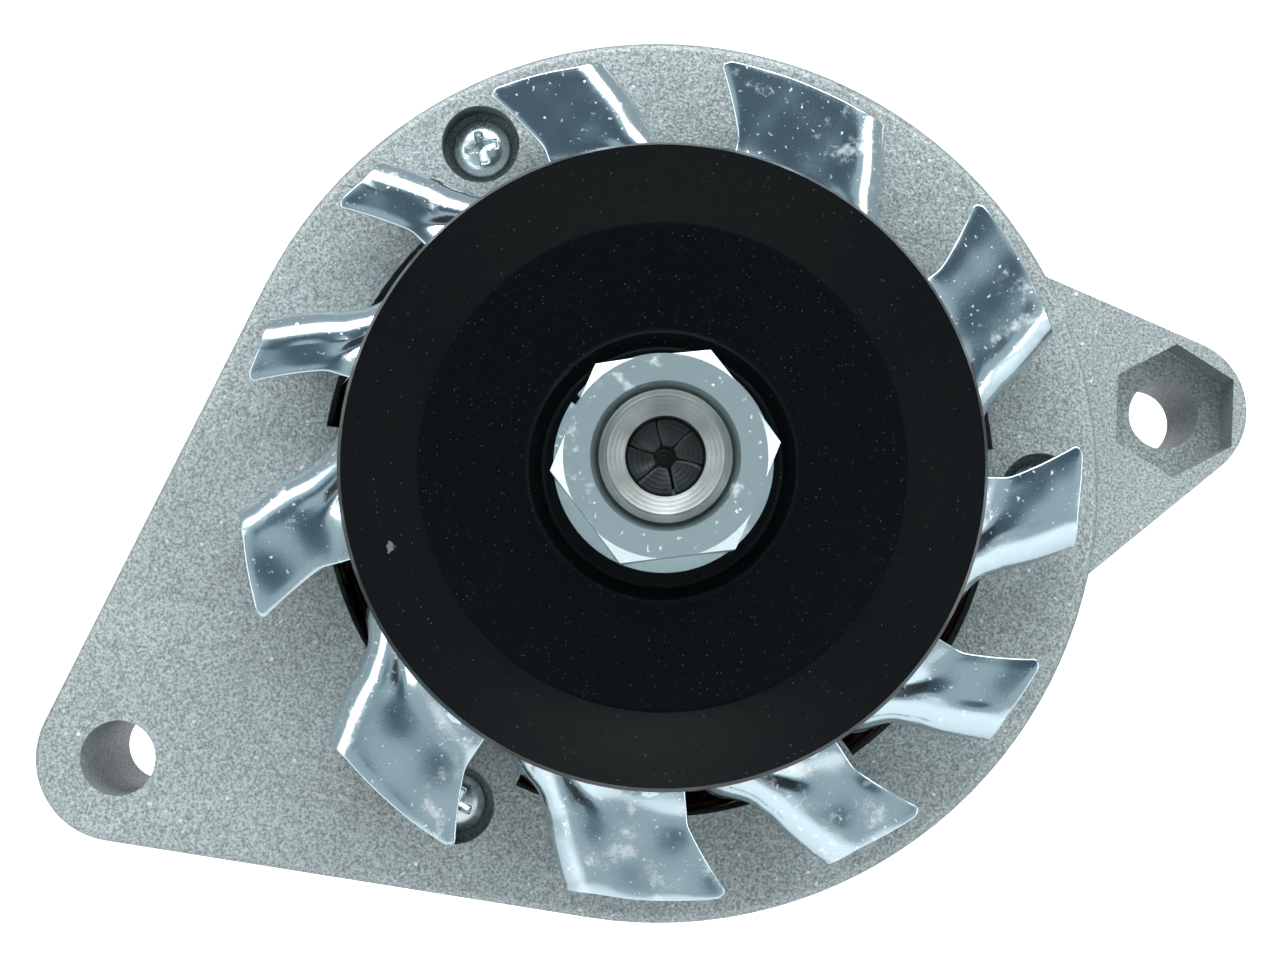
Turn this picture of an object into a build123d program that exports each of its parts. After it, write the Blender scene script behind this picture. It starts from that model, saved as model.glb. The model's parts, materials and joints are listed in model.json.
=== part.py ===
from build123d import *
import math
import os

# Car alternator, claw-pole kind, with an outside fan and a single V-belt pulley.
# Millimetres. The shaft runs along Y with the pulley toward -Y and +Z up.
# The origin is on the shaft axis, in the middle plane of the belt.

# ---- driving dimensions -------------------------------------------------------------
RIM_R = 41.2  # pulley outside radius
RIM_Y = 9.0  # half width of the pulley over its two rims
SHEET = 2.5  # pulley sheet
WEB_Y = 5.3  # front of the pulley web, measured from the belt plane
BORE_R = 8.5  # shaft radius under the pulley, the fan and the front bearing
THREAD_R = 8.0  # M16 shaft thread
NUT_AF = 24.0
FAN_Y = 13.5  # front of the fan sheet
FAN_SHEET = 1.5
FAN_R = 57.4
FACE_Y = 24.0  # front face of the drive-end frame
BODY_R = 62.0
SKIRT_Y = 54.0  # back edge of the drive-end frame
STACK_Y0 = 52.0
STACK_Y1 = 84.0
REAR_Y = 124.0  # back face of the slip-ring-end frame
SCREW_R = 53.6  # pitch radius of the through screws
SCREW_ANGLES = (118, -2, -122)
PIVOT_X, PIVOT_Z, PIVOT_EAR_R, PIVOT_HOLE_R = -75.3, -39.0, 11.65, 5.25
PIVOT_Y1 = 56.0
ADJUST_X, ADJUST_Z, ADJUST_EAR_R, ADJUST_HOLE_R = 72.9, 9.7, 10.2, 5.0
ADJUST_Y0, ADJUST_Y1 = 24.8, 50.0
POCKET_AF, POCKET_DEPTH = 16.4, 6.6
COIL_R = 50.0  # outside of the winding ends and of the diode plates
RING_R = 14.0  # slip ring radius

# Each fan blade: angle of its free edge at the tip, and its width at the tip, in degrees.
FAN_BLADES = (
    (4.3, 14.2),
    (41.0, 21.4),
    (81.6, 24.6),
    (114.2, 16.8),
    (140.3, 9.4),
    (167.4, 9.7),
    (200.2, 15.6),
    (241.2, 23.0),
    (279.2, 22.2),
    (308.1, 15.0),
    (334.2, 13.2),
)

os.makedirs("parts", exist_ok=True)


# ---- small shared helpers -----------------------------------------------------------
def at(y):
    """Plane across the shaft at y, with x to the right and z up, facing the pulley side."""
    return Plane.XZ.offset(-y)


def polar(radius, angle):
    a = math.radians(angle)
    return (radius * math.cos(a), radius * math.sin(a))


def puck(radius, y0, y1, mode=Mode.ADD, x=0.0, z=0.0):
    """Cylinder along Y from y0 to y1."""
    with BuildSketch(at(y0)) as s:
        with Locations((x, z)):
            Circle(radius)
    extrude(s.sketch, amount=y0 - y1, mode=mode)


def hexagon(across, y0, y1, mode=Mode.ADD, x=0.0, z=0.0, turn=0.0):
    with BuildSketch(at(y0)) as s:
        with Locations((x, z)):
            RegularPolygon(across / 2, 6, major_radius=False, rotation=turn)
    extrude(s.sketch, amount=y0 - y1, mode=mode)


def brick(x0, x1, y0, y1, z0, z1, mode=Mode.ADD):
    with Locations(((x0 + x1) / 2, (y0 + y1) / 2, (z0 + z1) / 2)):
        Box(x1 - x0, y1 - y0, z1 - z0, mode=mode)


def turned(points, mode=Mode.ADD):
    """Body turned about the shaft axis from (radius, y) points."""
    with BuildSketch(Plane.XY) as s:
        with BuildLine():
            Polyline(*points, close=True)
        make_face()
    revolve(s.sketch, axis=Axis.Y, mode=mode)


def sector(r_in, r_out, a0, a1, y0, y1, mode=Mode.ADD):
    """Part of a ring between two angles, from y0 to y1."""
    mid = (a0 + a1) / 2
    with BuildSketch(at(y0)) as s:
        with BuildLine():
            inner = ThreePointArc(polar(r_in, a0), polar(r_in, mid), polar(r_in, a1))
            outer = ThreePointArc(polar(r_out, a0), polar(r_out, mid), polar(r_out, a1))
            Line(inner @ 0, outer @ 0)
            Line(inner @ 1, outer @ 1)
        make_face()
    extrude(s.sketch, amount=y0 - y1, mode=mode)


def save(piece, name):
    piece.part.label = name
    export_step(piece.part, f"parts/{name}.step")


# ---- shaft nut and washers ----------------------------------------------------------
def make_shaft_nut():
    with BuildPart() as nut:
        hexagon(NUT_AF, -25.0, -12.0, turn=7)
        puck(THREAD_R, -25.0, -12.0, mode=Mode.SUBTRACT)
        turned([(0, -25.5), (9.0, -25.5), (9.0, -25.0), (8.0, -23.6), (0, -23.6)], mode=Mode.SUBTRACT)
        turned([(12.2, -25.01), (14.6, -25.01), (14.6, -23.4)], mode=Mode.SUBTRACT)
        turned([(12.2, -11.99), (14.6, -11.99), (14.6, -13.4)], mode=Mode.SUBTRACT)
    save(nut, "shaft_nut")


def make_washers():
    with BuildPart() as lock:
        puck(13.7, -12.0, -8.5)
        puck(THREAD_R + 0.2, -12.0, -8.5, mode=Mode.SUBTRACT)
        with Locations(Location((-9.0, -10.25, 6.5), (0, 36, 20))):
            Box(14, 12, 1.2, mode=Mode.SUBTRACT)
    save(lock, "lock_washer")
    with BuildPart() as washer:
        puck(13.4, -8.5, -2.5)
        puck(BORE_R, -8.5, -2.5, mode=Mode.SUBTRACT)
        chamfer(washer.edges().filter_by(GeomType.CIRCLE).sort_by(Axis.Y)[0:2], length=0.4)
    save(washer, "clamp_washer")


# ---- pulley -------------------------------------------------------------------------
def pulley_half(name, side):
    """One pressed half: hub, web and flank; side -1 is the front half, +1 the rear."""
    with BuildPart() as half:
        with BuildSketch(Plane.XY) as s:
            with BuildLine() as outline:
                Polyline(
                    (BORE_R, 0),
                    (16.2, 0),
                    (18.0, side * (WEB_Y - SHEET)),
                    (30.2, side * (WEB_Y - SHEET)),
                    (RIM_R - 0.3, side * (RIM_Y - SHEET - 0.2)),
                    (RIM_R, side * (RIM_Y - 1.6)),
                    (RIM_R - 0.6, side * RIM_Y),
                    (31.2, side * WEB_Y),
                    (17.2, side * WEB_Y),
                    (15.4, side * SHEET),
                    (BORE_R, side * SHEET),
                    close=True,
                )
            make_face()
            soft = [v for v in s.vertices() if 15 < v.X < 35]
            fillet(soft, radius=0.8)
        revolve(axis=Axis.Y)
        brick(-2.0, 2.0, -SHEET - 1, SHEET + 1, 0, 10.2, mode=Mode.SUBTRACT)
    save(half, name)


def make_pulley_spacer():
    with BuildPart() as spacer:
        puck(14.0, SHEET, FAN_Y)
        puck(BORE_R, SHEET, FAN_Y, mode=Mode.SUBTRACT)
        brick(-2.0, 2.0, SHEET - 1, FAN_Y + 1, 0, 10.2, mode=Mode.SUBTRACT)
    save(spacer, "pulley_spacer")


def make_key():
    with BuildPart() as key:
        with BuildSketch(Plane.YZ.offset(-2.0)) as s:
            with Locations((5.5, 11.5)):
                Circle(6.6)
            with Locations((5.5, 15.1)):
                Rectangle(20, 10, mode=Mode.SUBTRACT)
        extrude(s.sketch, amount=4.0)
    save(key, "woodruff_key")


# ---- fan ----------------------------------------------------------------------------
def blade_fold(tip_angle, width):
    """Fold line of a blade: from the shoulder just outside the pulley to the tip."""
    fold = tip_angle - width
    inner = Vector(*polar(46.6, fold - 9.2))
    outer = Vector(*polar(FAN_R, fold))
    return inner, outer


def add_blade(tip_angle, width):
    fold = tip_angle - width
    inner, outer = blade_fold(tip_angle, width)
    along = (outer - inner).normalized()
    away = Vector(along.Y, -along.X)
    bend = 3.4
    with BuildSketch(at(FAN_Y)) as flat:
        with BuildLine():
            a = outer - away * bend
            b = inner - away * bend
            Polyline(
                polar(34, fold - 12),
                polar(34, tip_angle - 4.7),
                polar(47.8, tip_angle - 4.7),
                polar(FAN_R, tip_angle),
                polar(FAN_R + 0.3, (tip_angle + fold) / 2),
                (a.X, a.Y),
                (b.X, b.Y),
                polar(43.6, fold - 10.5),
                close=True,
            )
        make_face()
    extrude(flat.sketch, amount=-FAN_SHEET)
    corner = Plane(
        origin=(inner.X, FAN_Y, inner.Y),
        x_dir=(away.X, 0, away.Y),
        z_dir=(along.X, 0, along.Y),
    )
    with BuildSketch(corner) as section:
        with BuildLine():
            Polyline((-bend, 0), (-bend, FAN_SHEET))
            RadiusArc((-bend, FAN_SHEET), (-FAN_SHEET, bend), bend - FAN_SHEET)
            Polyline((-FAN_SHEET, bend), (-FAN_SHEET, 9.0), (0, 9.0), (0, bend))
            RadiusArc((0, bend), (-bend, 0), -bend)
        make_face()
    extrude(section.sketch, amount=(outer - inner).length)


def make_fan():
    with BuildPart() as fan:
        puck(37.0, FAN_Y, FAN_Y + FAN_SHEET)
        for tip_angle, width in FAN_BLADES:
            add_blade(tip_angle, width)
        puck(BORE_R, FAN_Y - 1, FAN_Y + FAN_SHEET + 1, mode=Mode.SUBTRACT)
        turned(
            [(FAN_R, 10), (FAN_R + 6, 10), (FAN_R + 6, 26), (FAN_R, 26)],
            mode=Mode.SUBTRACT,
        )
    save(fan, "fan")


def make_bearing_spacer():
    with BuildPart() as spacer:
        puck(12.4, FAN_Y + FAN_SHEET, 28.0)
        puck(BORE_R, FAN_Y + FAN_SHEET, 28.0, mode=Mode.SUBTRACT)
        with BuildSketch(at(28.0)) as groove:
            Circle(13)
            Circle(12.0, mode=Mode.SUBTRACT)
        extrude(groove.sketch, amount=1.2, mode=Mode.SUBTRACT)
    save(spacer, "bearing_spacer")


# ---- rotor --------------------------------------------------------------------------
def make_shaft():
    with BuildPart() as shaft:
        turned(
            [
                (0, -25.5),
                (7.2, -25.5),
                (THREAD_R, -24.7),
                (THREAD_R, -8.0),
                (BORE_R, -7.5),
                (BORE_R, 40.0),
                (10.5, 40.0),
                (10.5, 46.0),
                (10.0, 46.0),
                (10.0, 88.0),
                (8.0, 89.0),
                (8.0, 111.0),
                (7.4, 112.0),
                (6.0, 112.0),
                (6.0, 121.0),
                (5.4, 121.6),
                (0, 121.6),
            ]
        )
        puck(4.85, -25.5, -22.5, mode=Mode.SUBTRACT)
        turned([(0, -25.6), (7.0, -25.6), (7.0, -25.5), (4.85, -24.4), (0, -24.4)], mode=Mode.SUBTRACT)
        hexagon(8.0, -22.5, -15.0, mode=Mode.SUBTRACT, turn=12)
        with BuildSketch(Plane.YZ.offset(-2.0)) as seat:
            with Locations((5.5, 11.5)):
                Circle(6.6)
            with Locations((5.5, 15.1)):
                Rectangle(20, 10, mode=Mode.SUBTRACT)
        extrude(seat.sketch, amount=4.0, mode=Mode.SUBTRACT)
    save(shaft, "rotor_shaft")


def claw_pole(name, disc_y0, disc_y1, tip_y, turn):
    """Pole disc with six tapered fingers; tip_y is where the fingers end."""
    root_y = disc_y1 if tip_y > disc_y1 else disc_y0
    with BuildPart() as finger:
        for y, half, r_in in ((root_y, 17.5, 31.5), (tip_y, 7.5, 37.5)):
            with BuildSketch(at(y)):
                with BuildLine():
                    Polyline(
                        polar(r_in, half),
                        polar(44.0, half),
                        polar(44.0, -half),
                        polar(r_in, -half),
                        close=True,
                    )
                make_face()
        loft()
    with BuildPart() as pole:
        puck(32.0, disc_y0, disc_y1)
        with BuildSketch(at(disc_y0)) as arms:
            with PolarLocations(0, 6):
                Polygon(
                    polar(20, -17.5),
                    polar(44, -17.5),
                    polar(44, 17.5),
                    polar(20, 17.5),
                    align=None,
                )
        extrude(arms.sketch, amount=disc_y0 - disc_y1)
        for i in range(6):
            add(finger.part.rotate(Axis.Y, 60 * i))
        low, high = sorted((disc_y0, disc_y1, tip_y))[0], sorted((disc_y0, disc_y1, tip_y))[2]
        puck(42.0, low, high, mode=Mode.INTERSECT)
        puck(10.0, low - 1, high + 1, mode=Mode.SUBTRACT)
    pole.part.label = name
    turned_pole = pole.part.rotate(Axis.Y, turn)
    turned_pole.label = name
    export_step(turned_pole, f"parts/{name}.step")


def make_rotor_inside():
    with BuildPart() as core:
        puck(16.0, 57.0, 77.0)
        puck(10.0, 57.0, 77.0, mode=Mode.SUBTRACT)
    save(core, "rotor_core")
    with BuildPart() as bobbin:
        puck(29.5, 57.0, 77.0)
        turned([(17.2, 58.5), (30, 58.5), (30, 75.5), (17.2, 75.5)], mode=Mode.SUBTRACT)
        puck(16.0, 57.0, 77.0, mode=Mode.SUBTRACT)
    save(bobbin, "coil_bobbin")
    with BuildPart() as coil:
        turned([(17.2, 58.5), (28.6, 58.5), (29.0, 62), (29.0, 72), (28.6, 75.5), (17.2, 75.5)])
    save(coil, "field_coil")


def make_slip_rings():
    with BuildPart() as sleeve:
        puck(11.5, 89.5, 110.5)
        puck(12.6, 89.5, 91.5)
        puck(12.6, 99.4, 101.1)
        puck(12.6, 109.0, 110.5)
        turned([(0, 88.0), (10, 88.0), (8.0, 89.0), (8.0, 111), (0, 111)], mode=Mode.SUBTRACT)
    save(sleeve, "slip_ring_sleeve")
    with BuildPart() as rings:
        for y0, y1 in ((91.5, 99.4), (101.1, 109.0)):
            puck(RING_R, y0, y1)
            puck(11.5, y0, y1, mode=Mode.SUBTRACT)
    save(rings, "slip_rings")


# ---- ball bearings ------------------------------------------------------------------
def ball_bearing(prefix, bore_r, outer_r, y0, y1, pitch_r, ball_r, inner_r, cup_r, count):
    mid = (y0 + y1) / 2
    with BuildPart() as outer:
        turned([(cup_r, y0), (outer_r, y0), (outer_r, y1), (cup_r, y1)])
        with BuildSketch(Plane.XY) as groove:
            with Locations((pitch_r, mid)):
                Circle(ball_r + 0.3)
        revolve(groove.sketch, axis=Axis.Y, mode=Mode.SUBTRACT)
    save(outer, prefix + "_outer_race")
    with BuildPart() as inner:
        turned([(bore_r, y0), (inner_r, y0), (inner_r, y1), (bore_r, y1)])
        with BuildSketch(Plane.XY) as groove:
            with Locations((pitch_r, mid)):
                Circle(ball_r + 0.3)
        revolve(groove.sketch, axis=Axis.Y, mode=Mode.SUBTRACT)
    save(inner, prefix + "_inner_race")
    places = [polar(pitch_r, 360 / count * i) for i in range(count)]
    with BuildPart() as balls:
        with Locations(*[(x, mid, z) for x, z in places]):
            Sphere(ball_r)
    save(balls, prefix + "_balls")
    with BuildPart() as cage:
        turned(
            [
                (pitch_r - 1.1, mid - ball_r - 0.8),
                (pitch_r + 1.1, mid - ball_r - 0.8),
                (pitch_r + 1.1, mid + ball_r + 0.8),
                (pitch_r - 1.1, mid + ball_r + 0.8),
            ]
        )
        for i in range(count):
            with Locations(Location((0, mid, 0), (0, -360 / count * i, 0))):
                with Locations(Location((pitch_r, 0, 0), (0, 90, 0))):
                    Cylinder(ball_r, 8, mode=Mode.SUBTRACT)
    save(cage, prefix + "_cage")


def make_front_shields():
    with BuildPart() as shields:
        for y0 in (28.3, 39.2):
            puck(16.4, y0, y0 + 0.5)
            puck(12.6, y0, y0 + 0.5, mode=Mode.SUBTRACT)
    save(shields, "front_bearing_shields")


def make_retainer():
    with BuildPart() as plate:
        puck(27.0, 40.0, 42.0)
        puck(13.0, 40.0, 42.0, mode=Mode.SUBTRACT)
        for i in range(4):
            x, z = polar(23.4, 45 + 90 * i)
            puck(2.1, 39, 43, mode=Mode.SUBTRACT, x=x, z=z)
    save(plate, "bearing_retainer")
    with BuildPart() as screws:
        for i in range(4):
            x, z = polar(23.4, 45 + 90 * i)
            puck(3.5, 42.0, 44.2, x=x, z=z)
            puck(2.1, 33.0, 42.0, x=x, z=z)
            hexagon(2.5, 43.0, 44.3, mode=Mode.SUBTRACT, x=x, z=z)
    save(screws, "retainer_screws")


# ---- drive-end frame ----------------------------------------------------------------
def ear_outline(x, z, ear_r, body_r):
    with BuildSketch(at(0)) as outline:
        Circle(body_r)
        with Locations((x, z)):
            Circle(ear_r)
        make_hull()
    return outline.sketch


def make_drive_end_frame():
    with BuildPart() as frame:
        puck(BODY_R, FACE_Y, SKIRT_Y)
        left = ear_outline(PIVOT_X, PIVOT_Z, PIVOT_EAR_R, BODY_R)
        extrude(left.moved(Location((0, FACE_Y, 0))), amount=FACE_Y - PIVOT_Y1)
        face_edges = frame.edges().filter_by_position(Axis.Y, FACE_Y, FACE_Y)
        fillet(face_edges, radius=1.2)
        right = ear_outline(ADJUST_X, ADJUST_Z, ADJUST_EAR_R, 48.4)
        extrude(right.moved(Location((0, ADJUST_Y0, 0))), amount=ADJUST_Y0 - ADJUST_Y1)
        puck(BODY_R, SKIRT_Y, PIVOT_Y1, mode=Mode.SUBTRACT)
        # pocket in the back of the pivot ear leaves walls around a boss
        with BuildSketch(at(PIVOT_Y1)) as pocket:
            Circle(BODY_R - 5)
            with Locations((PIVOT_X, PIVOT_Z)):
                Circle(PIVOT_EAR_R - 5)
            make_hull()
            Circle(BODY_R + 4, mode=Mode.SUBTRACT)
            with Locations((PIVOT_X, PIVOT_Z)):
                Circle(PIVOT_EAR_R - 0.5, mode=Mode.SUBTRACT)
        extrude(pocket.sketch, amount=PIVOT_Y1 - 35.0, mode=Mode.SUBTRACT)
        # inside of the skirt, with the seat for the stator stack
        puck(54.0, 30.0, SKIRT_Y + 1, mode=Mode.SUBTRACT)
        puck(59.0, STACK_Y0, SKIRT_Y + 1, mode=Mode.SUBTRACT)
        puck(27.0, 30.0, 40.0)
        # vent windows between six spokes
        for i in range(6):
            sector(29.5, 47.2, 58 + 60 * i + 7, 118 + 60 * i - 7, 23, 31, mode=Mode.SUBTRACT)
        puck(14.0, 23, 31, mode=Mode.SUBTRACT)
        puck(20.0, 28.0, 41.0, mode=Mode.SUBTRACT)
        for i in range(4):
            x, z = polar(23.4, 45 + 90 * i)
            puck(2.1, 33.0, 41.0, mode=Mode.SUBTRACT, x=x, z=z)
        # screw bosses, screw holes and counterbores
        for angle in SCREW_ANGLES:
            x, z = polar(SCREW_R, angle)
            with BuildSketch(at(30.0)) as boss:
                with Locations((x, z)):
                    Circle(6.5)
                Circle(59.5, mode=Mode.INTERSECT)
                Circle(COIL_R + 0.3, mode=Mode.SUBTRACT)
            extrude(boss.sketch, amount=30.0 - STACK_Y0)
            puck(2.75, 23, 53, mode=Mode.SUBTRACT, x=x, z=z)
            puck(5.5, 23, 29.5, mode=Mode.SUBTRACT, x=x, z=z)
        puck(PIVOT_HOLE_R, 20, 60, mode=Mode.SUBTRACT, x=PIVOT_X, z=PIVOT_Z)
        puck(ADJUST_HOLE_R, 20, 60, mode=Mode.SUBTRACT, x=ADJUST_X, z=ADJUST_Z)
        hexagon(
            POCKET_AF,
            ADJUST_Y0 - 1,
            ADJUST_Y0 + POCKET_DEPTH,
            mode=Mode.SUBTRACT,
            x=ADJUST_X,
            z=ADJUST_Z,
            turn=27.2,
        )
    save(frame, "drive_end_frame")


def make_through_screws():
    with BuildPart() as screws:
        for angle in SCREW_ANGLES:
            x, z = polar(SCREW_R, angle)
            puck(4.1, 26.0, 29.5, x=x, z=z)
            puck(2.5, 29.5, 112.0, x=x, z=z)
            for turn in (20, 110):
                with Locations(Location((x, 26.3, z), (0, turn + angle, 0))):
                    Box(5.0, 2.6, 1.0, mode=Mode.SUBTRACT)
    save(screws, "through_screws")


# ---- stator -------------------------------------------------------------------------
def make_stator():
    with BuildPart() as core:
        puck(59.0, STACK_Y0, STACK_Y1)
        puck(42.6, STACK_Y0, STACK_Y1, mode=Mode.SUBTRACT)
        with BuildSketch(at(STACK_Y0)) as slots:
            with PolarLocations(46.2, 36):
                Rectangle(6.4, 4.2)
            with PolarLocations(42.8, 36):
                Rectangle(2.0, 2.2)
        extrude(slots.sketch, amount=STACK_Y0 - STACK_Y1, mode=Mode.SUBTRACT)
        for angle in SCREW_ANGLES:
            x, z = polar(SCREW_R, angle)
            puck(2.9, STACK_Y0, STACK_Y1, mode=Mode.SUBTRACT, x=x, z=z)
    save(core, "stator_core")
    with BuildPart() as liners:
        with BuildSketch(at(STACK_Y0)) as walls:
            with PolarLocations(46.2, 36):
                Rectangle(6.4, 4.2)
            with PolarLocations(46.2, 36):
                Rectangle(5.8, 3.6, mode=Mode.SUBTRACT)
        extrude(walls.sketch, amount=STACK_Y0 - STACK_Y1)
    save(liners, "slot_liners")
    with BuildPart() as winding:
        with BuildSketch(at(STACK_Y0)) as bars:
            with PolarLocations(46.2, 36):
                Rectangle(5.8, 3.6)
        extrude(bars.sketch, amount=STACK_Y0 - STACK_Y1)
        for y0, y1 in ((44.5, STACK_Y0), (STACK_Y1, 91.5)):
            turned(
                [
                    (43.6, y0 + 1.5),
                    (45.0, y0),
                    (COIL_R - 1.5, y0),
                    (COIL_R, y0 + 1.5),
                    (COIL_R, y1 - 1.5),
                    (COIL_R - 1.5, y1),
                    (45.0, y1),
                    (43.6, y1 - 1.5),
                ]
            )
        for angle in (30, 84, 138):
            x, z = polar(48.5, angle)
            puck(0.9, 91.0, 93.0, x=x, z=z)
    save(winding, "stator_winding")


# ---- slip-ring-end frame ------------------------------------------------------------
def make_slip_ring_end_frame():
    with BuildPart() as frame:
        turned(
            [
                (0, 82.0),
                (61.5, 82.0),
                (61.5, 100.0),
                (60.5, 118.0),
                (55.0, REAR_Y),
                (0, REAR_Y),
            ]
        )
        puck(54.0, 80.0, 118.0, mode=Mode.SUBTRACT)
        puck(59.0, 80.0, STACK_Y1, mode=Mode.SUBTRACT)
        puck(22.0, 111.0, 120.0)
        puck(17.4, 110.0, 122.4, mode=Mode.SUBTRACT)
        # air inlets around the bearing cup
        for a0, a1 in ((66, 82), (88, 100), (172, 188), (194, 210), (216, 228), (314, 329)):
            sector(26.0, 47.0, a0, a1, 117, 125, mode=Mode.SUBTRACT)
        # opening for the brush holder
        brick(-8.5, 8.5, 117, 125, -48, -24.5, mode=Mode.SUBTRACT)
        for angle in SCREW_ANGLES:
            x, z = polar(SCREW_R, angle)
            with BuildSketch(at(STACK_Y1)) as boss:
                with Locations((x, z)):
                    Circle(6.5)
                Circle(59.0, mode=Mode.INTERSECT)
                Circle(COIL_R + 0.3, mode=Mode.SUBTRACT)
            extrude(boss.sketch, amount=STACK_Y1 - 119.0)
            puck(2.5, 80.0, 112.0, mode=Mode.SUBTRACT, x=x, z=z)
        for angle in PLATE_ANGLES:
            x, z = polar(45, angle)
            puck(4.5, 116.0, 119.0, x=x, z=z)
            puck(2.0, 115.0, 122.0, mode=Mode.SUBTRACT, x=x, z=z)
        x, z = STUD_XZ
        puck(7.0, 117, 125, mode=Mode.SUBTRACT, x=x, z=z)
        for x, z in TERMINALS:
            puck(5.0, 117, 125, mode=Mode.SUBTRACT, x=x, z=z)
        for x, z in REGULATOR_SCREWS + CAPACITOR_SCREW:
            puck(2.0, 117, 125, mode=Mode.SUBTRACT, x=x, z=z)
    save(frame, "slip_ring_end_frame")


def make_rear_bearing_sleeve():
    with BuildPart() as sleeve:
        puck(17.4, 112.0, 122.0)
        puck(16.0, 112.0, 122.0, mode=Mode.SUBTRACT)
    save(sleeve, "rear_bearing_sleeve")


# ---- rectifier ----------------------------------------------------------------------
PLATE_ANGLES = (22, 104, 158)
STUD_XZ = polar(45, 45)
TERMINALS = (polar(41, 0), polar(41, -21))
REGULATOR_SCREWS = ((-21.0, -36.0), (21.0, -36.0))
CAPACITOR_SCREW = ((-43.0, 26.0),)
PLUS_DIODES = (35, 90, 145)
MINUS_DIODES = (10, 62, 118)


def diode_plate(name, y0, y1, angles, stud_hole):
    with BuildPart() as plate:
        sector(26.0, COIL_R, 2, 176, y0, y1)
        for angle in angles:
            x, z = polar(37, angle)
            puck(6.4, y0, y1, mode=Mode.SUBTRACT, x=x, z=z)
        for angle in PLATE_ANGLES:
            x, z = polar(45, angle)
            puck(2.0, y0, y1, mode=Mode.SUBTRACT, x=x, z=z)
        puck(stud_hole, y0, y1, mode=Mode.SUBTRACT, x=STUD_XZ[0], z=STUD_XZ[1])
    save(plate, name)


def power_diodes(name, y0, y1, angles, lead_y):
    with BuildPart() as diodes:
        for angle in angles:
            x, z = polar(37, angle)
            puck(6.4, y0, y1, x=x, z=z)
            puck(0.8, lead_y, y0, x=x, z=z)
    save(diodes, name)


def make_rectifier():
    diode_plate("positive_plate", 102.0, 105.0, PLUS_DIODES, 2.6)
    diode_plate("negative_plate", 113.0, 116.0, MINUS_DIODES, 6.5)
    power_diodes("positive_diodes", 98.0, 107.0, PLUS_DIODES, 95.0)
    power_diodes("negative_diodes", 108.0, 117.0, MINUS_DIODES, 105.2)
    with BuildPart() as board:
        sector(30.0, COIL_R, 14, 166, 93.0, 95.0)
        for angle in PLATE_ANGLES:
            x, z = polar(45, angle)
            puck(2.0, 92, 96, mode=Mode.SUBTRACT, x=x, z=z)
    save(board, "exciter_board")
    with BuildPart() as small:
        for angle in (58, 70, 120):
            with Locations(Location((0, 96.5, 0), (0, -angle, 0))):
                with Locations(Location((39, 0, 0), (0, 90, 0))):
                    Cylinder(1.5, 8)
    save(small, "exciter_diodes")
    with BuildPart() as tubes:
        for angle in PLATE_ANGLES:
            x, z = polar(45, angle)
            for y0, y1 in ((95.0, 102.0), (105.0, 113.0)):
                puck(4.0, y0, y1, x=x, z=z)
                puck(2.0, y0, y1, mode=Mode.SUBTRACT, x=x, z=z)
    save(tubes, "plate_insulators")
    with BuildPart() as screws:
        for angle in PLATE_ANGLES:
            x, z = polar(45, angle)
            hexagon(7.0, 92.0, 93.0, x=x, z=z)
            puck(2.0, 93.0, 121.5, x=x, z=z)
    save(screws, "plate_screws")


# ---- outside terminals --------------------------------------------------------------
def make_terminals():
    x, z = STUD_XZ
    with BuildPart() as stud:
        hexagon(8.0, 99.0, 102.0, x=x, z=z)
        puck(2.6, 102.0, 133.4, x=x, z=z)
        puck(3.0, 133.4, 143.0, x=x, z=z)
        chamfer(stud.edges().filter_by(GeomType.CIRCLE).sort_by(Axis.Y)[-1], length=0.6)
    save(stud, "battery_stud")
    with BuildPart() as bush:
        puck(7.0, 118.0, REAR_Y, x=x, z=z)
        puck(9.0, REAR_Y, 127.0, x=x, z=z)
        puck(2.6, 118.0, 127.0, mode=Mode.SUBTRACT, x=x, z=z)
    save(bush, "battery_stud_bush")
    with BuildPart() as nut:
        puck(6.2, 127.0, 128.4, x=x, z=z)
        hexagon(10.0, 128.4, 133.4, x=x, z=z)
        puck(2.6, 127.0, 133.4, mode=Mode.SUBTRACT, x=x, z=z)
    save(nut, "battery_stud_nut")
    with BuildPart() as bushes:
        for x, z in TERMINALS:
            puck(5.0, 118.0, REAR_Y, x=x, z=z)
            puck(6.4, REAR_Y, 126.0, x=x, z=z)
            brick(x - 3.15, x + 3.15, 118.0, 126.0, z - 0.4, z + 0.4, mode=Mode.SUBTRACT)
    save(bushes, "terminal_bushes")
    for name, (x, z) in zip(("field_terminal", "phase_terminal"), TERMINALS):
        with BuildPart() as blade:
            brick(x - 3.15, x + 3.15, 118.0, 135.0, z - 0.4, z + 0.4)
            with Locations(Location((x, 131.5, z))):
                Cylinder(0.8, 2, mode=Mode.SUBTRACT)
        save(blade, name)


# ---- regulator and brushes ----------------------------------------------------------
BRUSH_ROWS = (("front", 93.0, 98.0), ("rear", 102.5, 107.5))


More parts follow.
